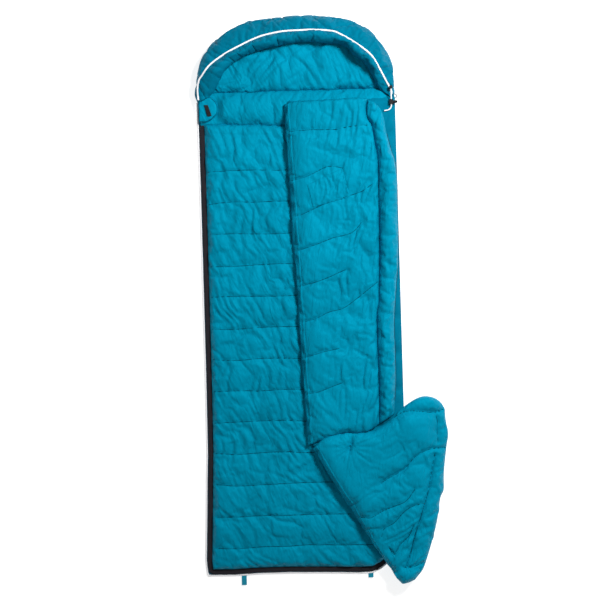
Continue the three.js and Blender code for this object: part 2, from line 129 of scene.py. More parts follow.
def new_group(name, inputs, outputs):
    """An empty shader node group with named sockets."""
    group = bpy.data.node_groups.new(name, "ShaderNodeTree")
    for label, kind, value in inputs:
        socket = group.interface.new_socket(label, in_out="INPUT", socket_type=kind)
        socket.default_value = value
    for label, kind in outputs:
        group.interface.new_socket(label, in_out="OUTPUT", socket_type=kind)
    made_in = group.nodes.new("NodeGroupInput")
    made_out = group.nodes.new("NodeGroupOutput")
    return group, made_in, made_out


def put(nodes, kind, **settings):
    """A node of this kind. Settings that name an input socket set its value, the rest set the node."""
    node = nodes.new(kind)
    for key, value in settings.items():
        if key in node.inputs:
            node.inputs[key].default_value = value
        else:
            setattr(node, key, value)
    return node


def weave_group():
    """Plain weave: two crossed thread waves, with slight slubs. Gives a height and a shade."""
    group, made_in, made_out = new_group(
        "thread weave",
        [("Thread", "NodeSocketFloat", 0.001), ("Slub", "NodeSocketFloat", 0.3)],
        [("Height", "NodeSocketFloat"), ("Shade", "NodeSocketFloat")],
    )
    nodes, links = group.nodes, group.links
    place = nodes.new("ShaderNodeTexCoord")
    over = put(nodes, "ShaderNodeMath", operation="DIVIDE")
    over.inputs[0].default_value = 0.16
    links.new(made_in.outputs["Thread"], over.inputs[1])
    waves = []
    for direction in ("X", "Y"):
        wave = put(nodes, "ShaderNodeTexWave", bands_direction=direction, Distortion=0.4)
        links.new(place.outputs["Object"], wave.inputs["Vector"])
        links.new(over.outputs[0], wave.inputs["Scale"])
        waves.append(wave)
    cross = put(nodes, "ShaderNodeMath", operation="MAXIMUM")
    links.new(waves[0].outputs["Fac"], cross.inputs[0])
    links.new(waves[1].outputs["Fac"], cross.inputs[1])
    slub = put(nodes, "ShaderNodeTexNoise", Scale=220.0, Detail=2.0)
    links.new(place.outputs["Object"], slub.inputs["Vector"])
    mixed = put(nodes, "ShaderNodeMath", operation="MULTIPLY_ADD")
    links.new(slub.outputs["Fac"], mixed.inputs[0])
    links.new(made_in.outputs["Slub"], mixed.inputs[1])
    links.new(cross.outputs[0], mixed.inputs[2])
    links.new(mixed.outputs[0], made_out.inputs["Height"])
    links.new(slub.outputs["Fac"], made_out.inputs["Shade"])
    return group


WEAVE = weave_group()


def woven_material(name, colour, thread, roughness, bump=0.4, mottling=0.12, specular=0.3):
    """Woven webbing, tape or cord in one colour."""
    material, nodes, links, shader = new_material(name)
    weave = put(nodes, "ShaderNodeGroup", node_tree=WEAVE)
    weave.inputs["Thread"].default_value = thread
    ramp = nodes.new("ShaderNodeValToRGB")
    dark = [c * (1 - mottling) for c in colour]
    light = [min(1.0, c * (1 + mottling)) for c in colour]
    ramp.color_ramp.elements[0].position = 0.3
    ramp.color_ramp.elements[0].color = (*dark, 1)
    ramp.color_ramp.elements[1].position = 0.7
    ramp.color_ramp.elements[1].color = (*light, 1)
    bumped = put(nodes, "ShaderNodeBump", Strength=bump, Distance=thread * 0.35)
    links.new(weave.outputs["Shade"], ramp.inputs["Fac"])
    links.new(ramp.outputs["Color"], shader.inputs["Base Color"])
    links.new(weave.outputs["Height"], bumped.inputs["Height"])
    links.new(bumped.outputs["Normal"], shader.inputs["Normal"])
    shader.inputs["Roughness"].default_value = roughness
    shader.inputs["Specular IOR Level"].default_value = specular
    return material


CORD_WHITE = woven_material("cord_braid", (0.86, 0.86, 0.88), 0.0008, 0.6)


def smooth_path(points, count):
    """Points at even spacing along a smooth curve through these."""
    points = np.asarray(points, dtype=float)
    padded = np.vstack([2 * points[0] - points[1], points, 2 * points[-1] - points[-2]])
    pieces = []
    for i in range(len(points) - 1):
        a, b, c, d = padded[i:i + 4]
        t = np.linspace(0, 1, 24, endpoint=False)[:, None]
        pieces.append(0.5 * (2 * b + (c - a) * t + (2 * a - 5 * b + 4 * c - d) * t ** 2
                             + (3 * b - a - 3 * c + d) * t ** 3))
    dense = np.vstack([*pieces, points[-1:]])
    run = np.concatenate([[0], np.cumsum(np.linalg.norm(np.diff(dense, axis=0), axis=1))])
    wanted = np.linspace(0, run[-1], count)
    return np.stack([np.interp(wanted, run, dense[:, k]) for k in range(dense.shape[1])], axis=1)


def path_curve(name, points, radius, material):
    """A round cord as a curve of one open spline."""
    data = bpy.data.curves.new(name, "CURVE")
    data.dimensions = "3D"
    data.bevel_depth = radius
    data.bevel_resolution = 4
    data.use_fill_caps = True
    spline = data.splines.new("POLY")
    spline.points.add(len(points) - 1)
    for knot, point in zip(spline.points, points):
        knot.co = (*point, 1)
    data.materials.append(material)
    return link(name, data)


cord_line = smooth_path(CORD_ROUTE, 90)
drawcord = path_curve("drawcord_white", cord_line, CORD_DIAMETER / 2, CORD_WHITE)
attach(drawcord, "root")
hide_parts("drawcord")


# ---------------------------------------------------------------- Studio
# A pale seamless floor, one soft light high beyond the right shoulder and an even white room.
def studio():
    floor = mesh_object("floor", [(-5, -5, 0), (5, -5, 0), (5, 5, 0), (-5, 5, 0)], [(0, 1, 2, 3)], [])
    floor.location.z = -0.0015
    material, nodes, links, shader = new_material("studio_floor")
    grain = put(nodes, "ShaderNodeTexNoise", Scale=3.0)
    ramp = nodes.new("ShaderNodeValToRGB")
    ramp.color_ramp.elements[0].color = (0.60, 0.60, 0.60, 1)
    ramp.color_ramp.elements[1].color = (0.64, 0.64, 0.64, 1)
    links.new(grain.outputs["Fac"], ramp.inputs["Fac"])
    links.new(ramp.outputs["Color"], shader.inputs["Base Color"])
    shader.inputs["Roughness"].default_value = 0.9
    shader.inputs["Specular IOR Level"].default_value = 0.0
    shader.inputs["Emission Color"].default_value = (1, 1, 1, 1)
    shader.inputs["Emission Strength"].default_value = 0.75
    floor.data.materials.append(material)
    for name, place, aim, size, power in (
        ("key_light", (1.75, 1.75, 3.05), (0.0, 0.30, 0.0), 0.9, 172.0),
        ("fill_light", (-2.2, 0.4, 2.4), (0.0, 0.0, 0.0), 2.4, 6.0),
    ):
        lamp = bpy.data.lights.new(name, "AREA")
        lamp.size = size
        lamp.energy = power
        made = link(name, lamp)
        made.location = place
        toward = [a - b for a, b in zip(aim, place)]
        made.rotation_euler = mathutils.Vector(toward).to_track_quat("-Z", "Y").to_euler()
    room = bpy.data.worlds.new("white_room")
    room.use_nodes = True
    room.node_tree.nodes["Background"].inputs["Color"].default_value = (1, 1, 1, 1)
    room.node_tree.nodes["Background"].inputs["Strength"].default_value = 0.26
    scene.world = room


studio()


# ---------------------------------------------------------------- Base quilt
# The back half of the bag: light nylon inside and out, filled with down in cross chambers.
# The sewn seams draw the cloth down and gather it into short pleats across each seam.
LINING_BLUE = (0.0002, 0.225, 0.358)
# The shell uses the lining's teal painted darker: painted shade for its slopes that face away from the key
# light, such as the hood's left side.
SHELL_BLUE_WITH_PAINTED_SHADE = (0.0002, 0.148, 0.246)
GRID = 0.0056
SEWN_Z = 0.012            # level of the sewn edges of the pieces that lie on the ground
GROUND_GAP = 0.0005
CLOTH_THICK = 0.0012


def crease_group():
    """Fine set wrinkles of down-proof nylon: ridged noise at two sizes, as a height and a worn tone."""
    group, made_in, made_out = new_group(
        "nylon creases",
        [("Size", "NodeSocketFloat", 0.03), ("Stretch", "NodeSocketFloat", 0.5),
         ("Turn", "NodeSocketVector", (0, 0, 0))],
        [("Height", "NodeSocketFloat"), ("Tone", "NodeSocketFloat")],
    )
    nodes, links = group.nodes, group.links
    place = nodes.new("ShaderNodeTexCoord")
    squeeze = put(nodes, "ShaderNodeMapping")
    spin = put(nodes, "ShaderNodeMapping")
    links.new(place.outputs["Object"], spin.inputs["Vector"])
    links.new(made_in.outputs["Turn"], spin.inputs["Rotation"])
    links.new(spin.outputs["Vector"], squeeze.inputs["Vector"])
    combine = nodes.new("ShaderNodeCombineXYZ")
    combine.inputs["X"].default_value = 1.0
    combine.inputs["Z"].default_value = 1.0
    links.new(made_in.outputs["Stretch"], combine.inputs["Y"])
    links.new(combine.outputs["Vector"], squeeze.inputs["Scale"])
    over = put(nodes, "ShaderNodeMath", operation="DIVIDE")
    over.inputs[0].default_value = 1.0
    links.new(made_in.outputs["Size"], over.inputs[1])
    total = None
    for factor, weight in ((1.0, 1.0), (2.3, 0.4)):
        scale = put(nodes, "ShaderNodeMath", operation="MULTIPLY")
        scale.inputs[1].default_value = factor
        links.new(over.outputs[0], scale.inputs[0])
        noise = put(nodes, "ShaderNodeTexNoise", Detail=1.5, Distortion=0.6)
        links.new(squeeze.outputs["Vector"], noise.inputs["Vector"])
        links.new(scale.outputs[0], noise.inputs["Scale"])
        centred = put(nodes, "ShaderNodeMath", operation="SUBTRACT")
        centred.inputs[1].default_value = 0.5
        links.new(noise.outputs["Fac"], centred.inputs[0])
        ridge = put(nodes, "ShaderNodeMath", operation="ABSOLUTE")
        links.new(centred.outputs[0], ridge.inputs[0])
        part = put(nodes, "ShaderNodeMath", operation="MULTIPLY")
        part.inputs[1].default_value = weight
        links.new(ridge.outputs[0], part.inputs[0])
        if total is None:
            total = part
        else:
            added = put(nodes, "ShaderNodeMath", operation="ADD")
            links.new(total.outputs[0], added.inputs[0])
            links.new(part.outputs[0], added.inputs[1])
            total = added
    links.new(total.outputs[0], made_out.inputs["Height"])
    tone = put(nodes, "ShaderNodeTexNoise", Scale=5.0, Detail=2.0)
    links.new(place.outputs["Object"], tone.inputs["Vector"])
    links.new(tone.outputs["Fac"], made_out.inputs["Tone"])
    return group


CREASES = crease_group()


def nylon_material(name, colour, turn=0.35, crease_size=0.030, crease_depth=0.009, roughness=0.5):
    """Down-proof nylon: satin, finely creased, with a faint thread and uneven tone."""
    material, nodes, links, shader = new_material(name)
    creases = put(nodes, "ShaderNodeGroup", node_tree=CREASES)
    creases.inputs["Size"].default_value = crease_size
    creases.inputs["Stretch"].default_value = 0.3
    creases.inputs["Turn"].default_value = (0, 0, turn)
    weave = put(nodes, "ShaderNodeGroup", node_tree=WEAVE)
    weave.inputs["Thread"].default_value = 0.0006
    ramp = nodes.new("ShaderNodeValToRGB")
    ramp.color_ramp.elements[0].position = 0.3
    ramp.color_ramp.elements[0].color = (*[c * 0.93 for c in colour], 1)
    ramp.color_ramp.elements[1].position = 0.7
    ramp.color_ramp.elements[1].color = (*[c * 1.06 for c in colour], 1)
    links.new(creases.outputs["Tone"], ramp.inputs["Fac"])
    links.new(ramp.outputs["Color"], shader.inputs["Base Color"])
    coarse = put(nodes, "ShaderNodeBump", Strength=0.8, Distance=crease_depth)
    fine = put(nodes, "ShaderNodeBump", Strength=0.15, Distance=0.0002)
    links.new(creases.outputs["Height"], coarse.inputs["Height"])
    links.new(weave.outputs["Height"], fine.inputs["Height"])
    links.new(coarse.outputs["Normal"], fine.inputs["Normal"])
    links.new(fine.outputs["Normal"], shader.inputs["Normal"])
    shader.inputs["Roughness"].default_value = roughness
    shader.inputs["Specular IOR Level"].default_value = 0.18
    shader.inputs["Specular Tint"].default_value = (0.0, 0.75, 1.0, 1)
    return material


LINING = nylon_material("lining_nylon", LINING_BLUE, turn=-0.38)
COVER_LINING = nylon_material("cover_lining_nylon", LINING_BLUE, turn=0.2)
# Shell nylon, whose darker colour carries painted shade.
SHELL = nylon_material("shell_nylon_painted_shade", SHELL_BLUE_WITH_PAINTED_SHADE, turn=0.5, crease_size=0.045, roughness=0.55)


def soft_noise(x, y, size, seed):
    """Smooth random heights from -1 to 1 over the plan, with lumps of about this size."""
    rng = np.random.default_rng(seed)
    lattice = rng.uniform(-1, 1, (97, 97))
    u = np.asarray(x) / size + 40.0
    v = np.asarray(y) / size + 40.0
    i = np.floor(u).astype(int) % 96
    j = np.floor(v).astype(int) % 96
    fu = u - np.floor(u)
    fv = v - np.floor(v)
    fu = fu * fu * (3 - 2 * fu)
    fv = fv * fv * (3 - 2 * fv)
    low = lattice[i, j] * (1 - fu) + lattice[i + 1, j] * fu
    high = lattice[i, j + 1] * (1 - fu) + lattice[i + 1, j + 1] * fu
    return low * (1 - fv) + high * fv


def pulled_folds(x, y, lean, across, along, seed):
    """Heights from 0 to 1 of long folds in pulled cloth, with broad backs and sharp valleys."""
    u = x * math.cos(lean) + y * math.sin(lean)
    v = y * math.cos(lean) - x * math.sin(lean)
    u = u + 1.3 * across * soft_noise(u, v, along * 1.2, seed + 1)
    return np.abs(soft_noise(u / across, v / along, 1.0, seed)) ** 0.75


def below(z, start, limit):
    """Eases heights above start so that they stay under limit."""
    over = np.maximum(z - start, 0.0)
    return np.where(z > start, start + (limit - start) * (1 - np.exp(-over / (limit - start))), z)


def height_at(grid, x, y):
    """Height of a grid's surface at its nearest point in plan."""
    points = grid.reshape(-1, 3)
    return points[np.argmin(np.hypot(points[:, 0] - x, points[:, 1] - y)), 2]


def distance_to(x, y, lines):
    """Distance in plan from each point to the nearest of these polylines."""
    best = np.full(np.shape(x), 9.0)
    for line in lines:
        line = np.asarray(line, dtype=float)
        for (ax, ay), (bx, by) in zip(line[:-1], line[1:]):
            dx, dy = bx - ax, by - ay
            t = np.clip(((x - ax) * dx + (y - ay) * dy) / (dx * dx + dy * dy + 1e-12), 0, 1)
            best = np.minimum(best, np.hypot(x - ax - t * dx, y - ay - t * dy))
    return best


def puff(distance, reach):
    """Rises like a quarter circle from 0 at a seam to 1 at this reach from it."""
    t = np.clip(distance / reach, 0, 1)
    return np.sqrt(np.maximum(0.0, 1 - (1 - t) ** 2))


def grid_faces(rows, columns, first=0, flip=False):
    index = first + np.arange(rows * columns).reshape(rows, columns)
    corners = [index[:-1, :-1], index[1:, :-1], index[1:, 1:], index[:-1, 1:]]
    if flip:
        corners = corners[::-1]
    return np.stack(corners, axis=-1).reshape(-1, 4)


def pin_rims(sewn):
    """Marks the outermost rows and columns of a grid as sewn down."""
    sewn[[0, -1], :] = True
    sewn[:, [0, -1]] = True


def thicken(piece, thickness, offset):
    """Gives a single layer of cloth its thickness, centred on it (0) or inward (-1)."""
    layer = piece.modifiers.new("cloth_thickness", "SOLIDIFY")
    layer.thickness = thickness
    layer.offset = offset


def simulate_cloth(points, sewn, shrink=-0.08, pressure=2.0, frames=20, bend=0.02, cap=0.016, seed=1):
    """Lets a grid of cloth billow and gather between its sewn points, and returns its points."""
    rows, columns = points.shape[:2]
    start = points.copy()
    start[..., 2] += 0.0008 * soft_noise(points[..., 0], points[..., 1], 0.014, seed) * ~sewn
    cloth = mesh_object("cloth_work", start.reshape(-1, 3), grid_faces(rows, columns), [])
    group = cloth.vertex_groups.new(name="sewn")
    group.add(np.flatnonzero(sewn.reshape(-1)).tolist(), 1.0, "REPLACE")
    modifier = cloth.modifiers.new("cloth", "CLOTH")
    settings = modifier.settings
    settings.quality = 4
    settings.mass = 0.2
    settings.air_damping = 2
    settings.tension_stiffness = 8
    settings.compression_stiffness = 8
    settings.shear_stiffness = 3
    settings.bending_stiffness = bend
    settings.use_pressure = True
    settings.uniform_pressure_force = pressure
    settings.shrink_min = shrink
    settings.vertex_group_mass = "sewn"
    settings.effector_weights.gravity = 0
    modifier.collision_settings.use_collision = False
    modifier.collision_settings.use_self_collision = False
    for step in range(1, frames + 1):
        scene.frame_set(step)
    shaped = cloth.evaluated_get(bpy.context.evaluated_depsgraph_get()).to_mesh()
    flat = np.empty(len(shaped.vertices) * 3, dtype=np.float32)
    shaped.vertices.foreach_get("co", flat)
    bpy.data.objects.remove(cloth)
    scene.frame_set(1)
    moved = flat.reshape(rows, columns, 3).astype(float) - points
    length = np.linalg.norm(moved, axis=-1, keepdims=True)
    return points + moved * np.minimum(1.0, cap / np.maximum(length, 1e-9))


def coons(low, high, left, right, rows, columns):
    """Plan points of a four-sided patch. low and high run left to right; left and right run up."""
    u = np.linspace(0, 1, rows)[:, None, None]
    v = np.linspace(0, 1, columns)[None, :, None]
    low, high = smooth_path(low, rows)[:, None, :], smooth_path(high, rows)[:, None, :]
    left, right = smooth_path(left, columns)[None, :, :], smooth_path(right, columns)[None, :, :]
    blend = (1 - v) * low + v * high + (1 - u) * left + u * right
    corners = ((1 - u) * (1 - v) * low[:1] + u * (1 - v) * low[-1:]
               + (1 - u) * v * high[:1] + u * v * high[-1:])
    return blend - corners


def closed_pad(name, top, under, top_material, under_material):
    """A closed skin from a top grid and an underside grid that share their rims' plan."""
    rows, columns = top.shape[:2]
    count = rows * columns
    faces = [grid_faces(rows, columns), grid_faces(rows, columns, count, flip=True)]
    index = np.arange(count).reshape(rows, columns)
    ring = np.concatenate([index[:, 0], index[-1, 1:], index[-2::-1, -1], index[0, -2:0:-1]])
    following = np.roll(ring, -1)
    side = np.stack([ring, ring + count, following + count, following], axis=-1)
    faces.append(side)
    slots = np.concatenate([np.zeros(len(faces[0])), np.ones(len(faces[1])), np.zeros(len(side))])
    points = np.concatenate([top.reshape(-1, 3), under.reshape(-1, 3)])
    smooth = np.ones(len(slots), dtype=bool)
    smooth[-len(side):] = False
    return mesh_object(name, points, np.concatenate(faces), [top_material, under_material], slots, smooth)


# Quilting thread: real stitching, coloured far darker than the nylon as painted shade for the narrow seam
# valleys.
SEAM_SHADE_THREAD = woven_material("seam_thread_painted_shade", (0.0002, 0.050, 0.085), 0.0006, 0.8, specular=0.05)


def shaded_stitch_lines(name, surface, lines, body, half_width=0.0011, fold=None):
    """Dark thread sunk along these lines of a surface: real stitching whose dark colour is painted shade of
    the seam valleys. If a fold is named, the strip gets its own copy of its mesh.
    """
    points, faces = [], []
    for line in lines:
        length = np.linalg.norm(np.diff(line, axis=0), axis=1).sum()
        run = smooth_path(line, max(4, round(length / 0.005)))
        along = np.gradient(run, axis=0)
        along /= np.linalg.norm(along, axis=1, keepdims=True)
        side = np.stack([-along[:, 1], along[:, 0]], axis=1) * half_width
        z = np.array([height_at(surface, x, y) for x, y in run])
        z = np.convolve(np.pad(z, 2, mode="edge"), np.full(5, 0.2), mode="valid")[:, None]
        ring = [np.hstack([run - side, z]), np.hstack([run, z + 0.0019]), np.hstack([run + side, z]),
                np.hstack([run, z - 0.0008])]
        first = sum(len(piece) for piece in points)
        points.append(np.stack(ring, axis=1).reshape(-1, 3))
        for near in range(first, first + 4 * (len(run) - 1), 4):
            for j in range(4):
                k = (j + 1) % 4
                faces.append([near + j, near + k, near + 4 + k, near + 4 + j])
    seams = mesh_object(name, np.concatenate(points), faces, [SEAM_SHADE_THREAD])
    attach(seams, body)
    if fold:
        press_flat(seams)


def press_flat(piece):
    """Gives a piece its own copy of its mesh data; its shape stays as it is."""
    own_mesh(piece)


FOLD_TOP = np.array([-0.036, 0.796])
FOLD_KNEE = np.array([0.022, -0.575])
FOOT_END = np.array([0.330, -1.085])
FOLD_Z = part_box("cover_fixed_shell")[1][2] + 0.00075
FOLD_TURNS = 12
FOLD_INSET = 0.010          # the turned-back cloth starts this far left of the fold
FOLD_UNDER_Z = 0.036        # the cloth round a fold comes down to this level
LAP_ROWS = 3                # rows of the fold's cloth that lie over the panel's own
LAP_LIFT = 0.0006
UNDER_Z = FOLD_Z + 0.0008   # lowest level of the pieces that are turned out over the sewn half


def fold_x(y):
    t = (FOLD_TOP[1] - y) / (FOLD_TOP[1] - FOLD_KNEE[1])
    return FOLD_TOP[0] + (FOLD_KNEE[0] - FOLD_TOP[0]) * t


HEM_LEFT = np.array([(-0.405, -1.10), (-0.411, -1.03), (-0.408, -0.96), (-0.403, -0.84), (-0.399, -0.72),
                     (-0.394, -0.60), (-0.392, -0.30), (-0.392, 0.10), (-0.392, 0.40), (-0.393, 0.71)])
HEM_FOOT = np.array([(-0.412, -1.089), (-0.30, -1.091), (-0.20, -1.087), (-0.08, -1.087), (0.10, -1.092),
                     (0.20, -1.096), (0.25, -1.094), (0.285, -1.078), (0.31, -1.058)])
HEM_DEPTH = 0.0215


def hem_left(y):
    return np.interp(y, HEM_LEFT[:, 1], HEM_LEFT[:, 0])


def hem_foot(x):
    return np.interp(x, HEM_FOOT[:, 0], HEM_FOOT[:, 1])


def base_quilt():
    low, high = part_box("base_lining")
    chambers = sorted(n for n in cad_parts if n.startswith("base_down"))
    rng = np.random.default_rng(11)
    x1 = high[0] + 0.002
    seams = []
    for chamber in chambers[:-1]:
        xs = np.linspace(low[0] + 0.004, x1, 9)
        seams.append(np.stack([xs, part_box(chamber)[0][1] - 0.001 + rng.normal(0, 0.0022, 9)], axis=-1))
    seams.append([(-0.310, 0.664), (-0.200, 0.662), (-0.100, 0.660)])
    rows, columns = round((x1 - low[0]) / GRID), round((high[1] - low[1]) / GRID)
    v = np.linspace(0, 1, columns)[None, :]
    u = np.linspace(0, 1, rows)[:, None]
    tall = low[1] + (high[1] - low[1]) * v + 0 * u
    left = hem_left(tall) + HEM_DEPTH
    x = left + (x1 - left) * u
    foot = hem_foot(x) + HEM_DEPTH
    y1 = np.interp(x, [low[0], 0.0, x1], [0.713, 0.698, 0.694])
    y = foot + (y1 - foot) * v
    to_seam = distance_to(x, y, seams)
    to_edge = np.minimum(np.minimum((x1 - left) * u, (x1 - left) * (1 - u)),
                         np.minimum((y1 - foot) * v, (y1 - foot) * (1 - v)))
    rim, valley, crown = SEWN_Z, 0.0335, high[2] + 0.005
    z = valley + (crown - valley) * puff(to_seam, 0.014)
    low_part = np.clip((-0.62 - y) / 0.25, 0, 1)
    folds = pulled_folds(x, y, 0.36, 0.024, 0.085, 12) * (1 - low_part)
    folds += pulled_folds(x, y, 0.95, 0.030, 0.11, 16) * low_part
    across_fold = np.clip(1 - np.abs(x - fold_x(y) + 0.06) / 0.10, 0, 1)
    folds += 0.9 * pulled_folds(x, y, 0.62, 0.026, 0.12, 14) * across_fold * (1 - low_part)
    z = z + 0.0095 * (folds - 0.4) + 0.004 * soft_noise(x, y, 0.11, 18)
    z = rim + (z - rim) * puff(to_edge, 0.035)
    top = np.stack([x, y, z], axis=-1)
    sewn = (to_seam < GRID * 0.55) | (to_edge < 1e-6)
    top = simulate_cloth(top, sewn, shrink=-0.03, pressure=0.7, frames=12, cap=0.008, seed=3)
    under = top.copy()
    under[..., 2] = np.clip(rim - (top[..., 2] - rim) * 0.42, GROUND_GAP, rim)
    quilt = closed_pad("base_quilt", top, under, LINING, SHELL)
    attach(quilt, "root")
    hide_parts("base_lining", "base_baffles", *chambers)
    collar_seam = [(-0.360, 0.7115), (-0.180, 0.7050), (0.0, 0.6975), (0.370, 0.6935)]
    # Dark thread along the chamber seams and the collar seam: real stitching, drawn dark as painted shade of
    # the seam valleys.
    shaded_stitch_lines("base_seam_thread_shade", top, [*seams[:-1], collar_seam], "root")


base_quilt()


# ---------------------------------------------------------------- Hem of the shell
# The outer nylon runs on past the filled chambers as a flat hem that carries the zip tape.
def edge_route(inset, z, top_y, end_x, corner=0.007):
    """Down the left side and along the foot, this far in from the hem's edge."""
    drop = np.linspace(top_y, -1.06, 110)
    side = [(hem_left(y) + inset, y) for y in drop]
    turn = [(hem_left(-1.085) + inset + corner * 0.3, hem_foot(-0.405) + inset + corner * 0.3)]
    run = [(x, hem_foot(x) + inset) for x in np.linspace(-0.405 + inset + corner, end_x, 90)]
    plan = smooth_path(np.array(side + turn + run), 320)
    return np.concatenate([plan, np.full((len(plan), 1), z)], axis=1)


def shell_hem():
    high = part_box("base_shell")[1]
    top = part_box("base_collar")[1][1]
    outer = edge_route(-0.001, 0.0012, top, 0.318)
    inner = edge_route(HEM_DEPTH + 0.010, 0.0072, top, 0.318)
    rng = np.random.default_rng(5)
    points = np.stack([outer, inner], axis=1).reshape(-1, 3)
    points[:, 2] += rng.uniform(0, 0.0006, len(points))
    count = len(outer)
    faces = [(2 * i, 2 * i + 2, 2 * i + 3, 2 * i + 1) for i in range(count - 1)]
    side = np.linspace(-1.045, top, 60)
    bulge = 0.003 * soft_noise(side, 0, 0.06, 6)
    right = [((high[0] - 0.01, y, 0.008), (high[0] + 0.003 + b, y, 0.0012)) for y, b in zip(side, bulge)]
    first = len(points)
    points = np.concatenate([points, np.array(right).reshape(-1, 3)])
    faces += [(first + 2 * i, first + 2 * i + 1, first + 2 * i + 3, first + 2 * i + 2) for i in range(59)]
    hem = mesh_object("shell_hem", points, faces, [SHELL])
    thicken(hem, CLOTH_THICK, 0)
    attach(hem, "root")
    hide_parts("base_shell")


shell_hem()


# ---------------------------------------------------------------- Zip on the base
# Black nylon tape with a moulded coil along its outer edge, sewn round the left side and the foot,
# and a white reflective piping that edges the hem outside it.
TAPE_BLACK = woven_material("zip_tape_weave", (0.016, 0.014, 0.018), 0.0012, 0.75,
                            mottling=0.35, specular=0.15)


def plastic_material(name, colour, roughness, specular=0.4):
    """Moulded plastic or painted metal, with a fine orange-peel skin and worn patches."""
    material, nodes, links, shader = new_material(name)
    place = nodes.new("ShaderNodeTexCoord")
    peel = put(nodes, "ShaderNodeTexNoise", Scale=900.0, Detail=2.0)
    wear = put(nodes, "ShaderNodeTexNoise", Scale=120.0, Detail=3.0)
    links.new(place.outputs["Object"], peel.inputs["Vector"])
    links.new(place.outputs["Object"], wear.inputs["Vector"])
    ramp = nodes.new("ShaderNodeValToRGB")
    ramp.color_ramp.elements[0].color = (*colour, 1)
    ramp.color_ramp.elements[1].color = (*[min(1.0, c * 1.7 + 0.005) for c in colour], 1)
    rough = put(nodes, "ShaderNodeMapRange")
    rough.inputs["To Min"].default_value = roughness * 0.8
    rough.inputs["To Max"].default_value = roughness * 1.2
    bump = put(nodes, "ShaderNodeBump", Strength=0.2, Distance=0.0001)
    links.new(wear.outputs["Fac"], ramp.inputs["Fac"])
    links.new(ramp.outputs["Color"], shader.inputs["Base Color"])
    links.new(wear.outputs["Fac"], rough.inputs["Value"])
    links.new(rough.outputs["Result"], shader.inputs["Roughness"])
    links.new(peel.outputs["Fac"], bump.inputs["Height"])
    links.new(bump.outputs["Normal"], shader.inputs["Normal"])
    shader.inputs["Specular IOR Level"].default_value = specular
    return material


COIL_BLACK = plastic_material("coil_nylon", (0.012, 0.011, 0.013), 0.45, 0.2)
HARD_BLACK = plastic_material("moulded_black", (0.006, 0.006, 0.007), 0.6, 0.15)
PIPING_WHITE = woven_material("piping_weave", (0.90, 0.90, 0.92), 0.0009, 0.45, mottling=0.05)


def side_normals(path):
    """Unit normals in plan, to the left of the way the path runs."""
    along = np.gradient(path[:, :2], axis=0)
    along /= np.linalg.norm(along, axis=1, keepdims=True)
    return np.stack([-along[:, 1], along[:, 0]], axis=1)


def ribbon(name, path, half_width, thick, material, crown=0.0):
    """A flat strap along a path: rounded section, closed ends."""
    path = np.asarray(path, dtype=float)
    normal = side_normals(path)
    section = [(-1, 0), (-0.92, 0.5), (-0.5, 0.5 + crown), (0, 0.5 + crown * 1.3), (0.5, 0.5 + crown),
               (0.92, 0.5), (1, 0), (0.92, -0.5), (0, -0.5), (-0.92, -0.5)]
    points = []
    for place, side in zip(path, normal):
        for across, up in section:
            reach = across * half_width
            points.append((place[0] + side[0] * reach, place[1] + side[1] * reach, place[2] + up * thick))
    count, ring = len(path), len(section)
    faces = []
    for i in range(count - 1):
        for j in range(ring):
            k = (j + 1) % ring
            faces.append((i * ring + j, i * ring + k, (i + 1) * ring + k, (i + 1) * ring + j))
    faces.append(tuple(range(ring))[::-1])
    faces.append(tuple((count - 1) * ring + j for j in range(ring)))
    return mesh_object(name, points, faces, [material])


def base_zip():
    top = 0.711
    end = 0.300
    tape = ribbon("zip_tape", edge_route(0.0125, 0.0128, top, end), 0.0100, 0.0014, TAPE_BLACK)
    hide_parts("zip_tape_base")
    coil_line = smooth_path(edge_route(0.0035, 0.0132, top, end), 1600)
    normal = side_normals(coil_line)
    pitch = np.arange(len(coil_line)) * 1.1
    turned = coil_line.copy()
    turned[:, :2] += normal * (0.0019 * np.cos(pitch))[:, None]
    turned[:, 2] += 0.0012 * np.sin(pitch)
    coil = path_curve("zip_coil", turned, 0.0009, COIL_BLACK)
    coil.data.bevel_resolution = 1
    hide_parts("zip_coil_base")
    piping_line = smooth_path(edge_route(-0.0042, 0.0062, 0.80, end + 0.008), 500)
    piping = path_curve("base_edge_piping", piping_line, 0.0040, PIPING_WHITE)
    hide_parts("base_piping")
    for piece in (tape, coil, piping):
        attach(piece, "root")


base_zip()


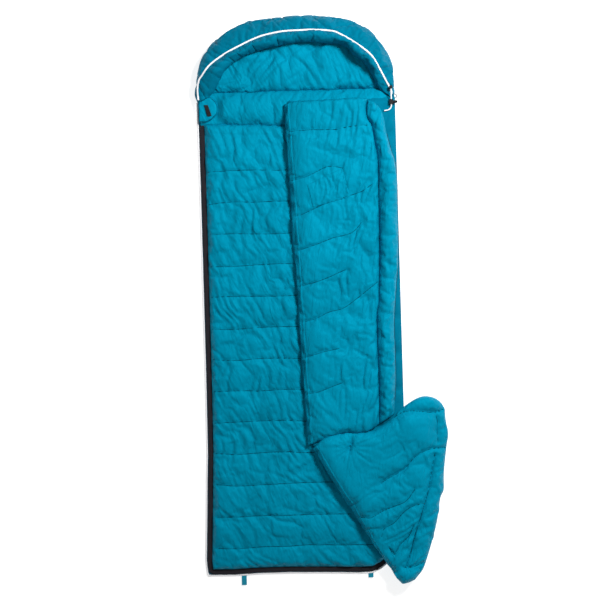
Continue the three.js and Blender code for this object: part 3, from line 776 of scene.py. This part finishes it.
# ---------------------------------------------------------------- Draft collar of the base
# A plain down-filled roll across the shoulders, between the chambers and the hood.
def draft_collar():
    low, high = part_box("base_collar")
    x0, x1, y1 = low[0], high[0] + 0.002, high[1] + 0.006
    rows, columns = round((x1 - x0) / GRID), round((y1 - low[1]) / GRID)
    u = np.linspace(0, 1, rows)[:, None]
    v = np.linspace(0, 1, columns)[None, :]
    x = x0 + (x1 - x0) * u + 0 * v
    seam = np.interp(x, [x0, 0.0, x1], [0.708, 0.694, 0.690])
    y = seam + (y1 - seam) * v
    to_edge = np.minimum(np.minimum(x - x0, x1 - x), np.minimum(y - seam, y1 - y))
    rim = SEWN_Z
    z = rim + (0.040 - rim) * puff(to_edge, 0.05)
    z = z + 0.004 * (pulled_folds(x, y, -0.5, 0.05, 0.12, 81) - 0.4) * puff(to_edge, 0.05)
    top = np.stack([x, y, z], axis=-1)
    top = simulate_cloth(top, to_edge < 1e-6, shrink=-0.04, pressure=1.2, frames=14, cap=0.010,
                         bend=0.04, seed=8)
    under_tab = np.clip((-0.290 - top[..., 0]) / 0.03, 0, 1)
    top[..., 2] = top[..., 2] * (1 - under_tab) + np.minimum(top[..., 2], 0.0255) * under_tab
    under = top.copy()
    under[..., 2] = np.clip(rim - (top[..., 2] - rim) * 0.4, GROUND_GAP, rim)
    collar = closed_pad("draft_collar", top, under, LINING, SHELL)
    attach(collar, "root")
    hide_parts("base_collar")


draft_collar()


# ---------------------------------------------------------------- Cover
# The front half of the bag. Its sewn half lies on the base; its zip half is folded back over it with
# the lining up. The cloth runs round the fold without a seam, and its chambers rise to the right.
COVER_GRID = 0.0052
SOFT_TOP = 0.100            # padding above this level is eased down
TOP_LIMIT = 0.110


def wrap_fold(plan, height, floor, bulge, turns):
    """Adds a half-round of cloth along the first row of a grid, from its top round to its underside."""
    edge, inner = plan[0], plan[1]
    away = edge - inner
    away /= np.linalg.norm(away, axis=-1, keepdims=True)
    half = (height[0] - floor) / 2
    rows = []
    for k in range(turns, 0, -1):
        angle = math.pi * k / turns
        out = edge + away * (bulge[:, None] * math.sin(angle))
        rows.append(np.concatenate([out, (floor + half + half * math.cos(angle))[:, None]], axis=-1))
    return np.stack(rows)


TUBE_SEAM = [(0.291, -0.500), (0.293, -0.434), (0.294, -0.324), (0.293, -0.206), (0.293, -0.068),
             (0.303, -0.009), (0.311, 0.188), (0.314, 0.385), (0.315, 0.543), (0.304, 0.620),
             (0.295, 0.680), (0.281, 0.708), (0.274, 0.750), (0.281, 0.786)]
TUBE_EDGE = [(0.352, -0.462), (0.354, -0.406), (0.360, -0.327), (0.361, -0.208), (0.360, -0.129),
             (0.364, -0.050), (0.373, 0.049), (0.384, 0.167), (0.388, 0.384), (0.388, 0.464),
             (0.382, 0.535), (0.368, 0.583), (0.352, 0.650), (0.346, 0.700), (0.337, 0.734),
             (0.324, 0.756), (0.305, 0.776)]
COVER_CREASES = [
    [(0.094, 0.741), (0.133, 0.714), (0.147, 0.695), (0.150, 0.671)],
    [(0.022, 0.615), (0.063, 0.634), (0.107, 0.649), (0.148, 0.665)],
    [(0.123, 0.764), (0.126, 0.740), (0.117, 0.704)],
]
COVER_SEAMS = [
    [(-0.050, 0.664), (0.041, 0.669), (0.149, 0.668), (0.190, 0.675), (0.250, 0.681), (0.294, 0.680)],
    [(-0.045, 0.470), (0.031, 0.486), (0.097, 0.516), (0.129, 0.523), (0.170, 0.516)],
    [(-0.045, 0.334), (-0.001, 0.334), (0.048, 0.354), (0.109, 0.379), (0.182, 0.401), (0.247, 0.421),
     (0.288, 0.448)],
    [(-0.040, 0.187), (0.019, 0.204), (0.080, 0.223), (0.129, 0.241), (0.202, 0.259), (0.243, 0.298)],
    [(-0.030, 0.050), (0.035, 0.063), (0.096, 0.082), (0.141, 0.101), (0.174, 0.114)],
    [(-0.030, -0.092), (0.043, -0.078), (0.104, -0.051), (0.161, -0.037), (0.219, 0.002), (0.260, 0.033),
     (0.301, 0.064)],
    [(-0.020, -0.236), (0.039, -0.218), (0.092, -0.204), (0.140, -0.195)],
    [(0.000, -0.373), (0.055, -0.364), (0.096, -0.349), (0.150, -0.330)],
]


def cover_free():
    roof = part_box("cover_free_lining")[1][2]
    left = [(fold_x(y) - FOLD_INSET, y) for y in np.linspace(-0.575, 0.777, 8)]
    right = TUBE_SEAM + [(0.284, 0.790)]
    low = [left[0], (0.090, -0.552), (0.160, -0.538), (0.240, -0.530), TUBE_SEAM[0]]
    high = [left[-1], (0.014, 0.787), (0.133, 0.790), (0.232, 0.794), right[-1]]
    rows, columns = round(0.33 / COVER_GRID), round(1.34 / COVER_GRID)
    plan = coons(low, high, left, right, rows, columns)
    x, y = plan[..., 0], plan[..., 1]
    to_seam = distance_to(x, y, COVER_SEAMS)
    to_edge = distance_to(x, y, [smooth_path(right, 60), smooth_path(high, 30)])
    to_crease = distance_to(x, y, [smooth_path(low, 40)])
    from_fold = x - fold_x(y) + FOLD_INSET
    rim, valley = FOLD_Z + 0.007, roof - 0.004
    near_fold = np.clip(1 - from_fold / 0.20, 0.25, 1)
    z = valley + 0.010 - 0.013 * near_fold * (1 - puff(to_seam, 0.020))
    slack = np.clip((from_fold - 0.09) / 0.10, 0, 1)
    folds = pulled_folds(x, y, -0.16, 0.021, 0.090, 24)
    z = z + 0.0105 * (folds - 0.4) * slack + 0.003 * soft_noise(x, y, 0.10, 26)
    z = z - 0.005 * (1 - puff(distance_to(x, y, COVER_CREASES), 0.014))
    z = rim + (z - rim) * puff(to_edge, 0.022)
    z = FOLD_Z + (z - FOLD_Z) * puff(from_fold + 0.003, 0.085)
    z = FOLD_Z + 0.002 + (z - FOLD_Z - 0.002) * puff(to_crease, 0.05)
    swell = 0.007 + 0.003 * soft_noise(plan[0, :, 1], 0, 0.09, 21)
    wrap = wrap_fold(plan, z, FOLD_UNDER_Z, swell, FOLD_TURNS)
    top = np.concatenate([wrap, np.concatenate([plan, z[..., None]], axis=-1)])
    side_seams = np.concatenate([np.tile(to_seam[:1], (FOLD_TURNS, 1)), to_seam])
    sewn = side_seams < COVER_GRID * 0.52
    pin_rims(sewn)
    shaped = simulate_cloth(top, sewn, shrink=-0.03, pressure=0.6, frames=12, cap=0.008, seed=23)
    shaped[..., 2] = below(shaped[..., 2], SOFT_TOP, TOP_LIMIT)
    skin = shaped[:FOLD_TURNS + LAP_ROWS + 1].copy()
    skin[-LAP_ROWS:, :, 2] += LAP_LIFT
    panel = shaped[FOLD_TURNS:]
    under = panel.copy()
    quilted = 0.006 * (1 - puff(to_seam, 0.05)) + 0.003 * pulled_folds(x, y, -0.3, 0.02, 0.08, 28)
    under[..., 2] = np.clip(rim - (panel[..., 2] - rim) * 0.3, UNDER_Z + quilted, rim)
    under[..., 2] = np.minimum(under[..., 2], panel[..., 2] - 0.0006)
    pad = closed_pad("cover_panel", panel, under, COVER_LINING, SHELL)
    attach(pad, "cover_free")
    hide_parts("cover_free_shell", "cover_free_lining", "cover_free_down", "cover_free_baffles",
                "cover_collar")
    stitched = []
    for seam in COVER_SEAMS:
        run = smooth_path(seam, 40)
        stitched.append(run[run[:, 0] > fold_x(run[:, 1]) - 0.006])
    # Dark thread along the cover's seams: real stitching, drawn dark as painted shade of the seam valleys.
    shaded_stitch_lines("cover_seam_thread_shade", panel, stitched, "cover_free", fold="cover_fold")
    press_flat(pad)
    bend_faces = grid_faces(*skin.shape[:2])
    bend = mesh_object("cover_fold_lining", skin.reshape(-1, 3), bend_faces, [COVER_LINING])
    thicken(bend, CLOTH_THICK, -1)
    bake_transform(bend)
    return panel


cover_surface = cover_free()


# Lining pocket: a flat patch of the same nylon, stitched to the cover's lining.
def lining_pocket():
    low, high = [(0.053, 0.361), (0.200, 0.400)], [(0.032, 0.452), (0.172, 0.515)]
    plan = coons(low, high, [low[0], high[0]], [low[1], high[1]], 40, 28)
    lift = np.array([[height_at(cover_surface, px, py) for px, py in row] for row in plan]) + 0.0011
    edge = np.zeros(lift.shape)
    edge[[0, -1], :] = edge[:, [0, -1]] = 0.0010
    top = np.concatenate([plan, (lift - edge)[..., None]], axis=-1)
    under = top - [0, 0, 0.0012]
    pocket = closed_pad("pocket_patch", top, under, COVER_LINING, COVER_LINING)
    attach(pocket, "cover_free")
    press_flat(pocket)
    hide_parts("lining_pocket")


lining_pocket()


# The sewn half under it: shell side up, seen at the right edge and when the bag is closed.
def cover_fixed():
    low_c, high_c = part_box("cover_fixed_shell")
    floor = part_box("cover_fixed_lining")[0][2]
    roof = high_c[2]
    top_y, hem_y, right_x = high_c[1], low_c[1], high_c[0] + 0.004
    t_hem = (FOLD_KNEE[1] - hem_y) / (FOLD_KNEE[1] - FOOT_END[1])
    hem_x = FOLD_KNEE[0] + (FOOT_END[0] - FOLD_KNEE[0]) * t_hem
    left = [(hem_x + 0.002, hem_y), (FOLD_KNEE[0] + 0.003, FOLD_KNEE[1]), (FOLD_TOP[0] + 0.002, top_y)]
    columns = 150
    run = np.linspace(0, 1, columns)
    y_line = hem_y + (top_y - hem_y) * run
    x_left = np.interp(y_line, [p[1] for p in left], [p[0] for p in left])
    rows = 34
    u = np.linspace(0, 1, rows)[:, None]
    x = x_left[None, :] + (right_x - x_left[None, :]) * u
    y = np.tile(y_line[None, :], (rows, 1))
    seams = [[(-0.1, s), (0.4, s + 0.012)] for s in np.arange(-0.95, 0.7, 0.144)]
    to_seam = distance_to(x, y, seams)
    to_edge = np.minimum(np.minimum(right_x - x, top_y - y), y - hem_y)
    rim = floor + 0.010
    z = roof - 0.012 + 0.012 * puff(to_seam, 0.05)
    z = rim + (z - rim) * puff(to_edge, 0.022)
    z += 0.006 * (pulled_folds(x, y, -0.6, 0.018, 0.06, 31) - 0.6) * puff(to_edge, 0.03)
    z = np.minimum(z, roof)
    top = np.stack([x, y, z], axis=-1)
    under = top.copy()
    under[..., 2] = np.clip(rim - (z - rim) * 0.6, floor, rim)
    pad = closed_pad("cover_sewn_half", top, under, SHELL, LINING)
    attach(pad, "root")
    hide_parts("cover_fixed_shell", "cover_fixed_lining", "cover_fixed_down", "cover_fixed_baffles")


cover_fixed()


# Draft tube: a soft roll of lining sewn along the cover's zip edge, over the zip tape.
def draft_tube():
    count, rows = 230, 15
    inner, outer = smooth_path(TUBE_SEAM, count), smooth_path(TUBE_EDGE, count)
    t = np.linspace(0, 1, rows)[:, None]
    x = inner[None, :, 0] * (1 - t) + outer[None, :, 0] * t
    y = inner[None, :, 1] * (1 - t) + outer[None, :, 1] * t
    tucks = [[(0.280, h + 0.005), (0.400, h - 0.012)] for h in (0.545, 0.079, -0.060, -0.27)]
    tucks.append([(0.290, 0.690), (0.312, 0.663), (0.348, 0.640)])
    to_tuck = distance_to(x, y, tucks)
    ends = np.minimum(np.arange(count), np.arange(count)[::-1])[None, :] * 0.0054
    swell = np.sin(np.pi * np.clip(t * 0.96 + 0.02, 0, 1)) ** 0.55
    low = FOLD_Z + 0.005
    z = low + (0.099 - low) * swell * (0.80 + 0.20 * puff(to_tuck, 0.025)) * puff(ends, 0.05)
    z = z + 0.006 * (pulled_folds(x, y, -0.1, 0.020, 0.08, 44) - 0.4) * swell
    top = np.stack([x, y, z], axis=-1)
    sewn = np.zeros(top.shape[:2], dtype=bool)
    pin_rims(sewn)
    sewn |= to_tuck < 0.003
    top = simulate_cloth(top, sewn, shrink=-0.05, pressure=1.0, frames=14, cap=0.008, seed=43)
    top[..., 2] = below(top[..., 2], SOFT_TOP, TOP_LIMIT)
    under = top.copy()
    under[..., 2] = np.minimum(low - 0.002, top[..., 2] - 0.0006)
    tube = closed_pad("draft_tube", top, under, COVER_LINING, COVER_LINING)
    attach(tube, "cover_free")
    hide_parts("cover_draft_tube")
    press_flat(tube)


draft_tube()


# The cover's half of the zip runs under the draft tube's outer edge.
def cover_zip():
    line = smooth_path(TUBE_EDGE[1:-4], 320)
    line = np.concatenate([line, np.full((320, 1), FOLD_Z + 0.003)], axis=1)
    tape = ribbon("cover_zip_tape", line - [0.0085, 0, 0.0], 0.0095, 0.0012, TAPE_BLACK)
    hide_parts("zip_tape_cover")
    teeth = smooth_path(line + [0.0012, 0, 0.0004], 1200)
    turn = np.arange(1200) * 1.1
    teeth[:, 0] += 0.0014 * np.cos(turn)
    teeth[:, 2] += 0.0010 * np.sin(turn)
    coil = path_curve("cover_zip_coil", teeth, 0.0008, COIL_BLACK)
    coil.data.bevel_resolution = 1
    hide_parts("zip_coil_cover")
    for piece in (tape, coil):
        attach(piece, "cover_free")


cover_zip()


# ---------------------------------------------------------------- Foot corner
# The cover's foot corner, turned out to the right over the sewn side, plump and loosely gathered.
def foot_corner():
    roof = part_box("foot_lining")[1][2]
    fold = [tuple(FOLD_KNEE + (FOOT_END - FOLD_KNEE) * t) for t in np.linspace(0.02, 1.0, 6)]
    left = [(0.352, -1.122), *fold[::-1]]
    right = [(0.415, -1.119), (0.447, -1.080), (0.468, -1.030), (0.496, -0.944), (0.513, -0.879),
             (0.526, -0.803), (0.541, -0.768), (0.544, -0.702), (0.557, -0.602), (0.565, -0.551),
             (0.557, -0.490), (0.555, -0.450)]
    low = [left[0], (0.366, -1.134), (0.390, -1.130), right[0]]
    high = [left[-1], (0.082, -0.541), (0.154, -0.529), (0.219, -0.527), (0.260, -0.525), (0.291, -0.512),
            (0.332, -0.487), (0.353, -0.470), (0.369, -0.452), (0.395, -0.430), (0.436, -0.405),
            (0.472, -0.395),
            (0.512, -0.403), (0.540, -0.424), right[-1]]
    rows, columns = 100, 118
    plan = coons(low, high, left, right, rows, columns)
    x, y = plan[..., 0], plan[..., 1]
    seams = [
        [(0.553, -0.602), (0.497, -0.603), (0.457, -0.615), (0.426, -0.634), (0.400, -0.663),
         (0.374, -0.688), (0.323, -0.711), (0.292, -0.731)],
        [(0.422, -0.760), (0.386, -0.804), (0.340, -0.823), (0.294, -0.841), (0.248, -0.865),
         (0.208, -0.864)],
        [(0.456, -0.816), (0.411, -0.825), (0.375, -0.849), (0.338, -0.888), (0.297, -0.912),
         (0.286, -0.942)],
        [(0.507, -0.626), (0.495, -0.681), (0.478, -0.766), (0.456, -0.831), (0.439, -0.881),
         (0.417, -0.945), (0.400, -1.010), (0.378, -1.065)],
        [(0.350, -0.476), (0.381, -0.456), (0.421, -0.450), (0.456, -0.454), (0.512, -0.460),
         (0.547, -0.449)],
        [(0.512, -0.460), (0.521, -0.491), (0.519, -0.536), (0.523, -0.579)],
        [(0.444, -1.052), (0.399, -1.066), (0.370, -1.064)],
        [(0.316, -0.990), (0.335, -1.014), (0.361, -0.974), (0.392, -0.945), (0.413, -0.905)],
        [(0.179, -0.556), (0.168, -0.601)],
    ]
    depth = np.array([0.020, 0.010, 0.013, 0.022, 0.022, 0.014, 0.018, 0.016, 0.022])
    z = np.full(x.shape, roof + 0.008)
    for seam, drop in zip(seams, depth):
        z = np.minimum(z, roof + 0.008 - drop * (1 - puff(distance_to(x, y, [seam]), 0.030)))
    to_seam = distance_to(x, y, seams)
    edge_line = [smooth_path(right, 60), smooth_path(low, 12), smooth_path(high, 60)]
    to_edge = distance_to(x, y, edge_line)
    rim = FOLD_Z + 0.006
    heave = 0.006 * soft_noise(x, y, 0.10, 51)
    folds = pulled_folds(x, y, -1.05, 0.026, 0.11, 55)
    z = z + heave + 0.0050 * (folds - 0.4)
    from_tie_x, from_tie_y = x - 0.172, y + 0.585
    away = np.hypot(from_tie_x, from_tie_y)
    spokes = np.abs(np.sin(9 * np.arctan2(from_tie_y, from_tie_x))) ** 0.7
    z = z - 0.006 * (1 - spokes) * np.clip(1 - away / 0.13, 0, 1)
    z = rim + (z - rim) * puff(to_edge, 0.05)
    from_fold = distance_to(x, y, [smooth_path(fold, 20)])
    z = FOLD_Z + (z - FOLD_Z) * puff(from_fold + 0.004, 0.06)
    swell = np.full(columns, 0.008) + 0.003 * soft_noise(plan[0, :, 1], 0, 0.07, 53)
    wrap = wrap_fold(plan, z, FOLD_UNDER_Z, swell, FOLD_TURNS)
    top = np.concatenate([wrap, np.concatenate([plan, z[..., None]], axis=-1)])
    all_seams = np.concatenate([np.tile(to_seam[:1], (FOLD_TURNS, 1)), to_seam])
    sewn = all_seams < 0.0030
    pin_rims(sewn)
    shaped = simulate_cloth(top, sewn, shrink=-0.03, pressure=0.9, frames=14, cap=0.009,
                            bend=0.04, seed=57)
    shaped[..., 2] = below(shaped[..., 2], 0.100, 0.111)
    droop = 0.026 * np.clip((shaped[..., 0] - 0.40) / 0.15, 0, 1) ** 1.6
    shaped[..., 2] -= droop
    skin, panel = shaped[:FOLD_TURNS + LAP_ROWS + 1].copy(), shaped[FOLD_TURNS:]
    skin[-LAP_ROWS:, :, 2] += LAP_LIFT
    under = panel.copy()
    drop = droop[FOLD_TURNS:]
    quilted = 0.004 * (1 - puff(to_seam, 0.05)) + 0.003 * pulled_folds(x, y, -0.9, 0.02, 0.08, 58)
    under[..., 2] = np.clip(rim - (panel[..., 2] + drop - rim) * 0.3, UNDER_Z + quilted, rim) - drop
    under[..., 2] = np.minimum(under[..., 2], panel[..., 2] - 0.0006)
    pad = closed_pad("foot_corner_panel", panel, under, COVER_LINING, SHELL)
    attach(pad, "foot_corner")
    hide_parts("foot_shell", "foot_lining", "foot_down")
    # Dark thread along the foot corner's seams: real stitching, drawn dark as painted shade of the seam
    # valleys.
    shaded_stitch_lines("foot_corner_seam_thread_shade", panel, seams[:-1], "foot_corner", 0.0013, "foot_fold")
    press_flat(pad)
    bend_faces = grid_faces(*skin.shape[:2])
    bend = mesh_object("foot_fold_lining", skin.reshape(-1, 3), bend_faces, [COVER_LINING])
    thicken(bend, CLOTH_THICK, -1)
    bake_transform(bend)


foot_corner()


# ---------------------------------------------------------------- Hood
# The back panel continues as a lined hood. Its rim is a plump roll drawn in by the cord channel,
# which a white reflective piping follows; the crown cloth joins the rim to the back panel.
HOOD_STEPS = 240
# The cloth billows outward when it is shaped, so each arch starts a little inside its finished line.
OUTER_DRAW_IN = np.array([0.996, 0.991])
PIPING_DRAW_IN = 0.996
INNER_DRAW_IN = np.array([0.996, 1.0])
OUTER_ARCH = smooth_path([
    (-0.390, 0.770), (-0.396, 0.800), (-0.398, 0.849), (-0.388, 0.909), (-0.372, 0.964), (-0.342, 1.015),
    (-0.310, 1.048), (-0.273, 1.077), (-0.208, 1.109), (-0.160, 1.121), (-0.048, 1.134), (0.056, 1.136),
    (0.164, 1.126), (0.227, 1.108), (0.286, 1.077), (0.332, 1.028), (0.363, 0.979), (0.378, 0.940),
    (0.388, 0.886), (0.393, 0.826), (0.391, 0.767)], HOOD_STEPS)
PIPING_ARCH = smooth_path([
    (-0.391, 0.800), (-0.393, 0.850), (-0.385, 0.885), (-0.375, 0.898), (-0.338, 0.942), (-0.281, 0.982),
    (-0.231, 1.008), (-0.175, 1.034), (-0.124, 1.052), (-0.046, 1.066), (0.020, 1.068), (0.070, 1.069),
    (0.147, 1.062), (0.186, 1.046), (0.246, 1.008), (0.300, 0.963), (0.331, 0.912), (0.358, 0.864),
    (0.379, 0.825), (0.380, 0.798)], HOOD_STEPS)
INNER_ARCH = smooth_path([
    (-0.362, 0.811), (-0.331, 0.841), (-0.290, 0.907), (-0.250, 0.944), (-0.210, 0.971), (-0.137, 0.997),
    (-0.082, 1.009), (-0.037, 1.018), (0.058, 1.020), (0.113, 1.015), (0.168, 1.006), (0.201, 0.987),
    (0.228, 0.961), (0.277, 0.923), (0.303, 0.884), (0.325, 0.850), (0.346, 0.822)], HOOD_STEPS)


def hood_back():
    inner = OUTER_ARCH[20:-20] * 0.93 + [0, 0.060]
    inner = smooth_path(inner[::6], 150)
    low_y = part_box("hood_back_lining")[0][1]
    columns = 46
    v = np.linspace(0, 1, columns)[None, :, None]
    foot = np.stack([np.linspace(inner[0, 0], inner[-1, 0], 150), np.full(150, low_y)], -1)[:, None, :]
    plan = foot * (1 - v) + inner[:, None, :] * v
    x, y = plan[..., 0], plan[..., 1]
    to_edge = distance_to(x, y, [inner[::4], [(-0.372, low_y), (0.372, low_y)]])
    rim = SEWN_Z
    z = rim + (0.036 - rim) * puff(to_edge, 0.03)
    folds = pulled_folds(x, y, -1.0, 0.035, 0.13, 61) + 0.6 * pulled_folds(x, y, 0.5, 0.030, 0.08, 63)
    z = z + 0.009 * (folds - 0.6) * puff(to_edge, 0.05)
    top = np.concatenate([plan, z[..., None]], axis=-1)
    sewn = to_edge < 1e-4
    pin_rims(sewn)
    top = simulate_cloth(top, sewn, shrink=-0.06, pressure=0.6, frames=14, cap=0.012, bend=0.03, seed=67)
    under = top.copy()
    under[..., 2] = np.clip(rim - (top[..., 2] - rim) * 0.4, GROUND_GAP, rim)
    pad = closed_pad("hood_back_panel", top, under, LINING, SHELL)
    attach(pad, "root")
    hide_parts("hood_back_lining", "hood_back_down")


hood_back()


def hood_section(outer, piping, inner, keys):
    """Rows of points across the rim: each key is how far in (0 outer, 1 piping, 2 inner) and how high."""
    rows = []
    fade = np.clip((outer[:, 1] - 0.79) / 0.13, 0, 1)
    for across, z in keys:
        if across <= 1:
            place = outer * (1 - across) + piping * across
        else:
            place = piping * (2 - across) + inner * (across - 1)
        height = 0.014 + (z - 0.014) * (0.42 + 0.58 * fade)
        rows.append(np.concatenate([place, height[:, None]], axis=1))
    return np.stack(rows)


def dense_keys(keys, count):
    keys = np.array(keys)
    return smooth_path(keys * [0.08, 1.0], count) / [0.08, 1.0]


def hood_rim():
    crown_keys = dense_keys([(0.10, 0.003), (0.015, 0.012), (0.0, 0.028), (0.03, 0.044),
                             (0.10, 0.056)], 14)
    outer_keys = dense_keys([(0.10, 0.056), (0.28, 0.070), (0.55, 0.079), (0.85, 0.081), (1.0, 0.081)], 16)
    inner_keys = dense_keys([(1.0, 0.081), (1.14, 0.085), (1.45, 0.095), (1.74, 0.091), (1.95, 0.075),
                             (2.0, 0.060), (1.88, 0.048), (1.5, 0.042)], 26)
    keys = np.concatenate([crown_keys, outer_keys[1:], inner_keys[1:]])
    points = hood_section(OUTER_ARCH * OUTER_DRAW_IN, PIPING_ARCH * PIPING_DRAW_IN,
                          INNER_ARCH * INNER_DRAW_IN, keys)
    sewn = np.zeros(points.shape[:2], dtype=bool)
    piping_row = len(crown_keys) + len(outer_keys) - 2
    for row in (0, piping_row - 1, piping_row, piping_row + 1, len(keys) - 1):
        sewn[row, :] = True
    sewn[:, 0] = True
    sewn[:, -1] = True
    pleats = pulled_folds(points[..., 0], points[..., 1], 0.9, 0.030, 0.09, 73)
    points[..., 2] += 0.005 * (pleats - 0.4) * ~sewn
    shaped = simulate_cloth(points, sewn, shrink=-0.07, pressure=1.1, frames=16, cap=0.011,
                            bend=0.03, seed=71)
    shaped[..., 2] = below(shaped[..., 2], 0.102, 0.111)
    crown = shaped[:len(crown_keys)]
    rim = shaped[len(crown_keys) - 1:]
    rim_faces = grid_faces(*rim.shape[:2], flip=True)
    crown_faces = grid_faces(*crown.shape[:2], flip=True)
    roll = mesh_object("hood_rim", rim.reshape(-1, 3), rim_faces, [SHELL])
    cloth = mesh_object("hood_crown", crown.reshape(-1, 3), crown_faces, [SHELL])
    for piece in (roll, cloth):
        thicken(piece, 0.0015, -1)
    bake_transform(roll)
    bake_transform(cloth)
    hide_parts("hood_outer_panel", "hood_rim_roll")
    line = shaped[piping_row].copy()
    line[:, 2] += 0.0035
    piping = ribbon("hood_edge_piping", smooth_path(line[2:-2:2], 300), 0.0033, 0.0040, PIPING_WHITE)
    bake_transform(piping)
    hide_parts("hood_piping")


hood_rim()


# ---------------------------------------------------------------- Hook tab
# A rounded padded tab of lining on the left shoulder, with a patch of black hook tape sewn on.
HOOK_BLACK = woven_material("hook_patch_pile", (0.010, 0.010, 0.012), 0.0022, 0.85, bump=1.0, mottling=0.5)


def hook_tab():
    low = [(-0.389, 0.719), (-0.363, 0.718), (-0.341, 0.728)]
    high = [(-0.387, 0.822), (-0.360, 0.822), (-0.341, 0.817)]
    right = [low[-1], (-0.319, 0.749), (-0.314, 0.772), (-0.320, 0.797), high[-1]]
    plan = coons(low, high, [low[0], (-0.388, 0.770), high[0]], right, 28, 36)
    x, y = plan[..., 0], plan[..., 1]
    to_edge = distance_to(x, y, [smooth_path(right, 30), smooth_path(low, 12), smooth_path(high, 12)])
    z = 0.0285 + 0.0105 * puff(to_edge, 0.014) + 0.0015 * soft_noise(x, y, 0.02, 91)
    under = np.concatenate([plan, np.full((*z.shape, 1), 0.0272)], axis=-1)
    over = np.concatenate([plan, z[..., None]], axis=-1)
    tab = closed_pad("hook_tab_padded", over, under, LINING, SHELL)
    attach(tab, "hook_tab")
    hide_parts("hook_tab")
    # A dark thread round the tab's edge: real stitching, drawn dark as painted shade along the padded tab's
    # rim.
    edge = np.array([*low[:-1], *right, *high[-2::-1]])
    edge = (edge - [-0.360, 0.770]) * 0.93 + [-0.360, 0.770]
    shaded_stitch_lines("hook_tab_edge_thread_shade", over, [edge], "hook_tab")
    corners = [(-0.356, 0.741), (-0.339, 0.742)], [(-0.368, 0.786), (-0.353, 0.786)]
    spread = coons(*corners, [corners[0][0], corners[1][0]], [corners[0][1], corners[1][1]], 10, 24)
    top = np.concatenate([spread, np.full((10, 24, 1), 0.0425)], axis=-1)
    patch = closed_pad("hook_patch_pile", top, top - [0, 0, 0.0030], HOOK_BLACK, HOOK_BLACK)
    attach(patch, "hook_tab")
    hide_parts("hook_patch")


hook_tab()


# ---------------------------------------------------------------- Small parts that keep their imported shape
# Black moulded slider, pull tab, stops, cord lock, port and ring, a steel spring, and the webbing loops.
WEBBING = woven_material("loop_webbing", (0.003, 0.23, 0.34), 0.0016, 0.7)
STEEL = plastic_material("spring_steel", (0.45, 0.46, 0.48), 0.25)
STEEL.node_tree.nodes["Principled BSDF"].inputs["Metallic"].default_value = 1.0
finishes = {
    "zip_top_stop": HARD_BLACK, "zip_retainer_box": HARD_BLACK, "cord_port": HARD_BLACK,
    "cord_anchor_ring": HARD_BLACK, "cord_lock_body": HARD_BLACK, "cord_lock_barrel": HARD_BLACK,
    "cord_lock_plunger": HARD_BLACK, "cord_lock_spring": STEEL, "zip_slider": HARD_BLACK,
    "zip_pull_tab": TAPE_BLACK,
    "hang_loop_left": WEBBING, "hang_loop_right": WEBBING,
}
for node, material in finishes.items():
    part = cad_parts[node]
    part.data.materials.clear()
    part.data.materials.append(material)
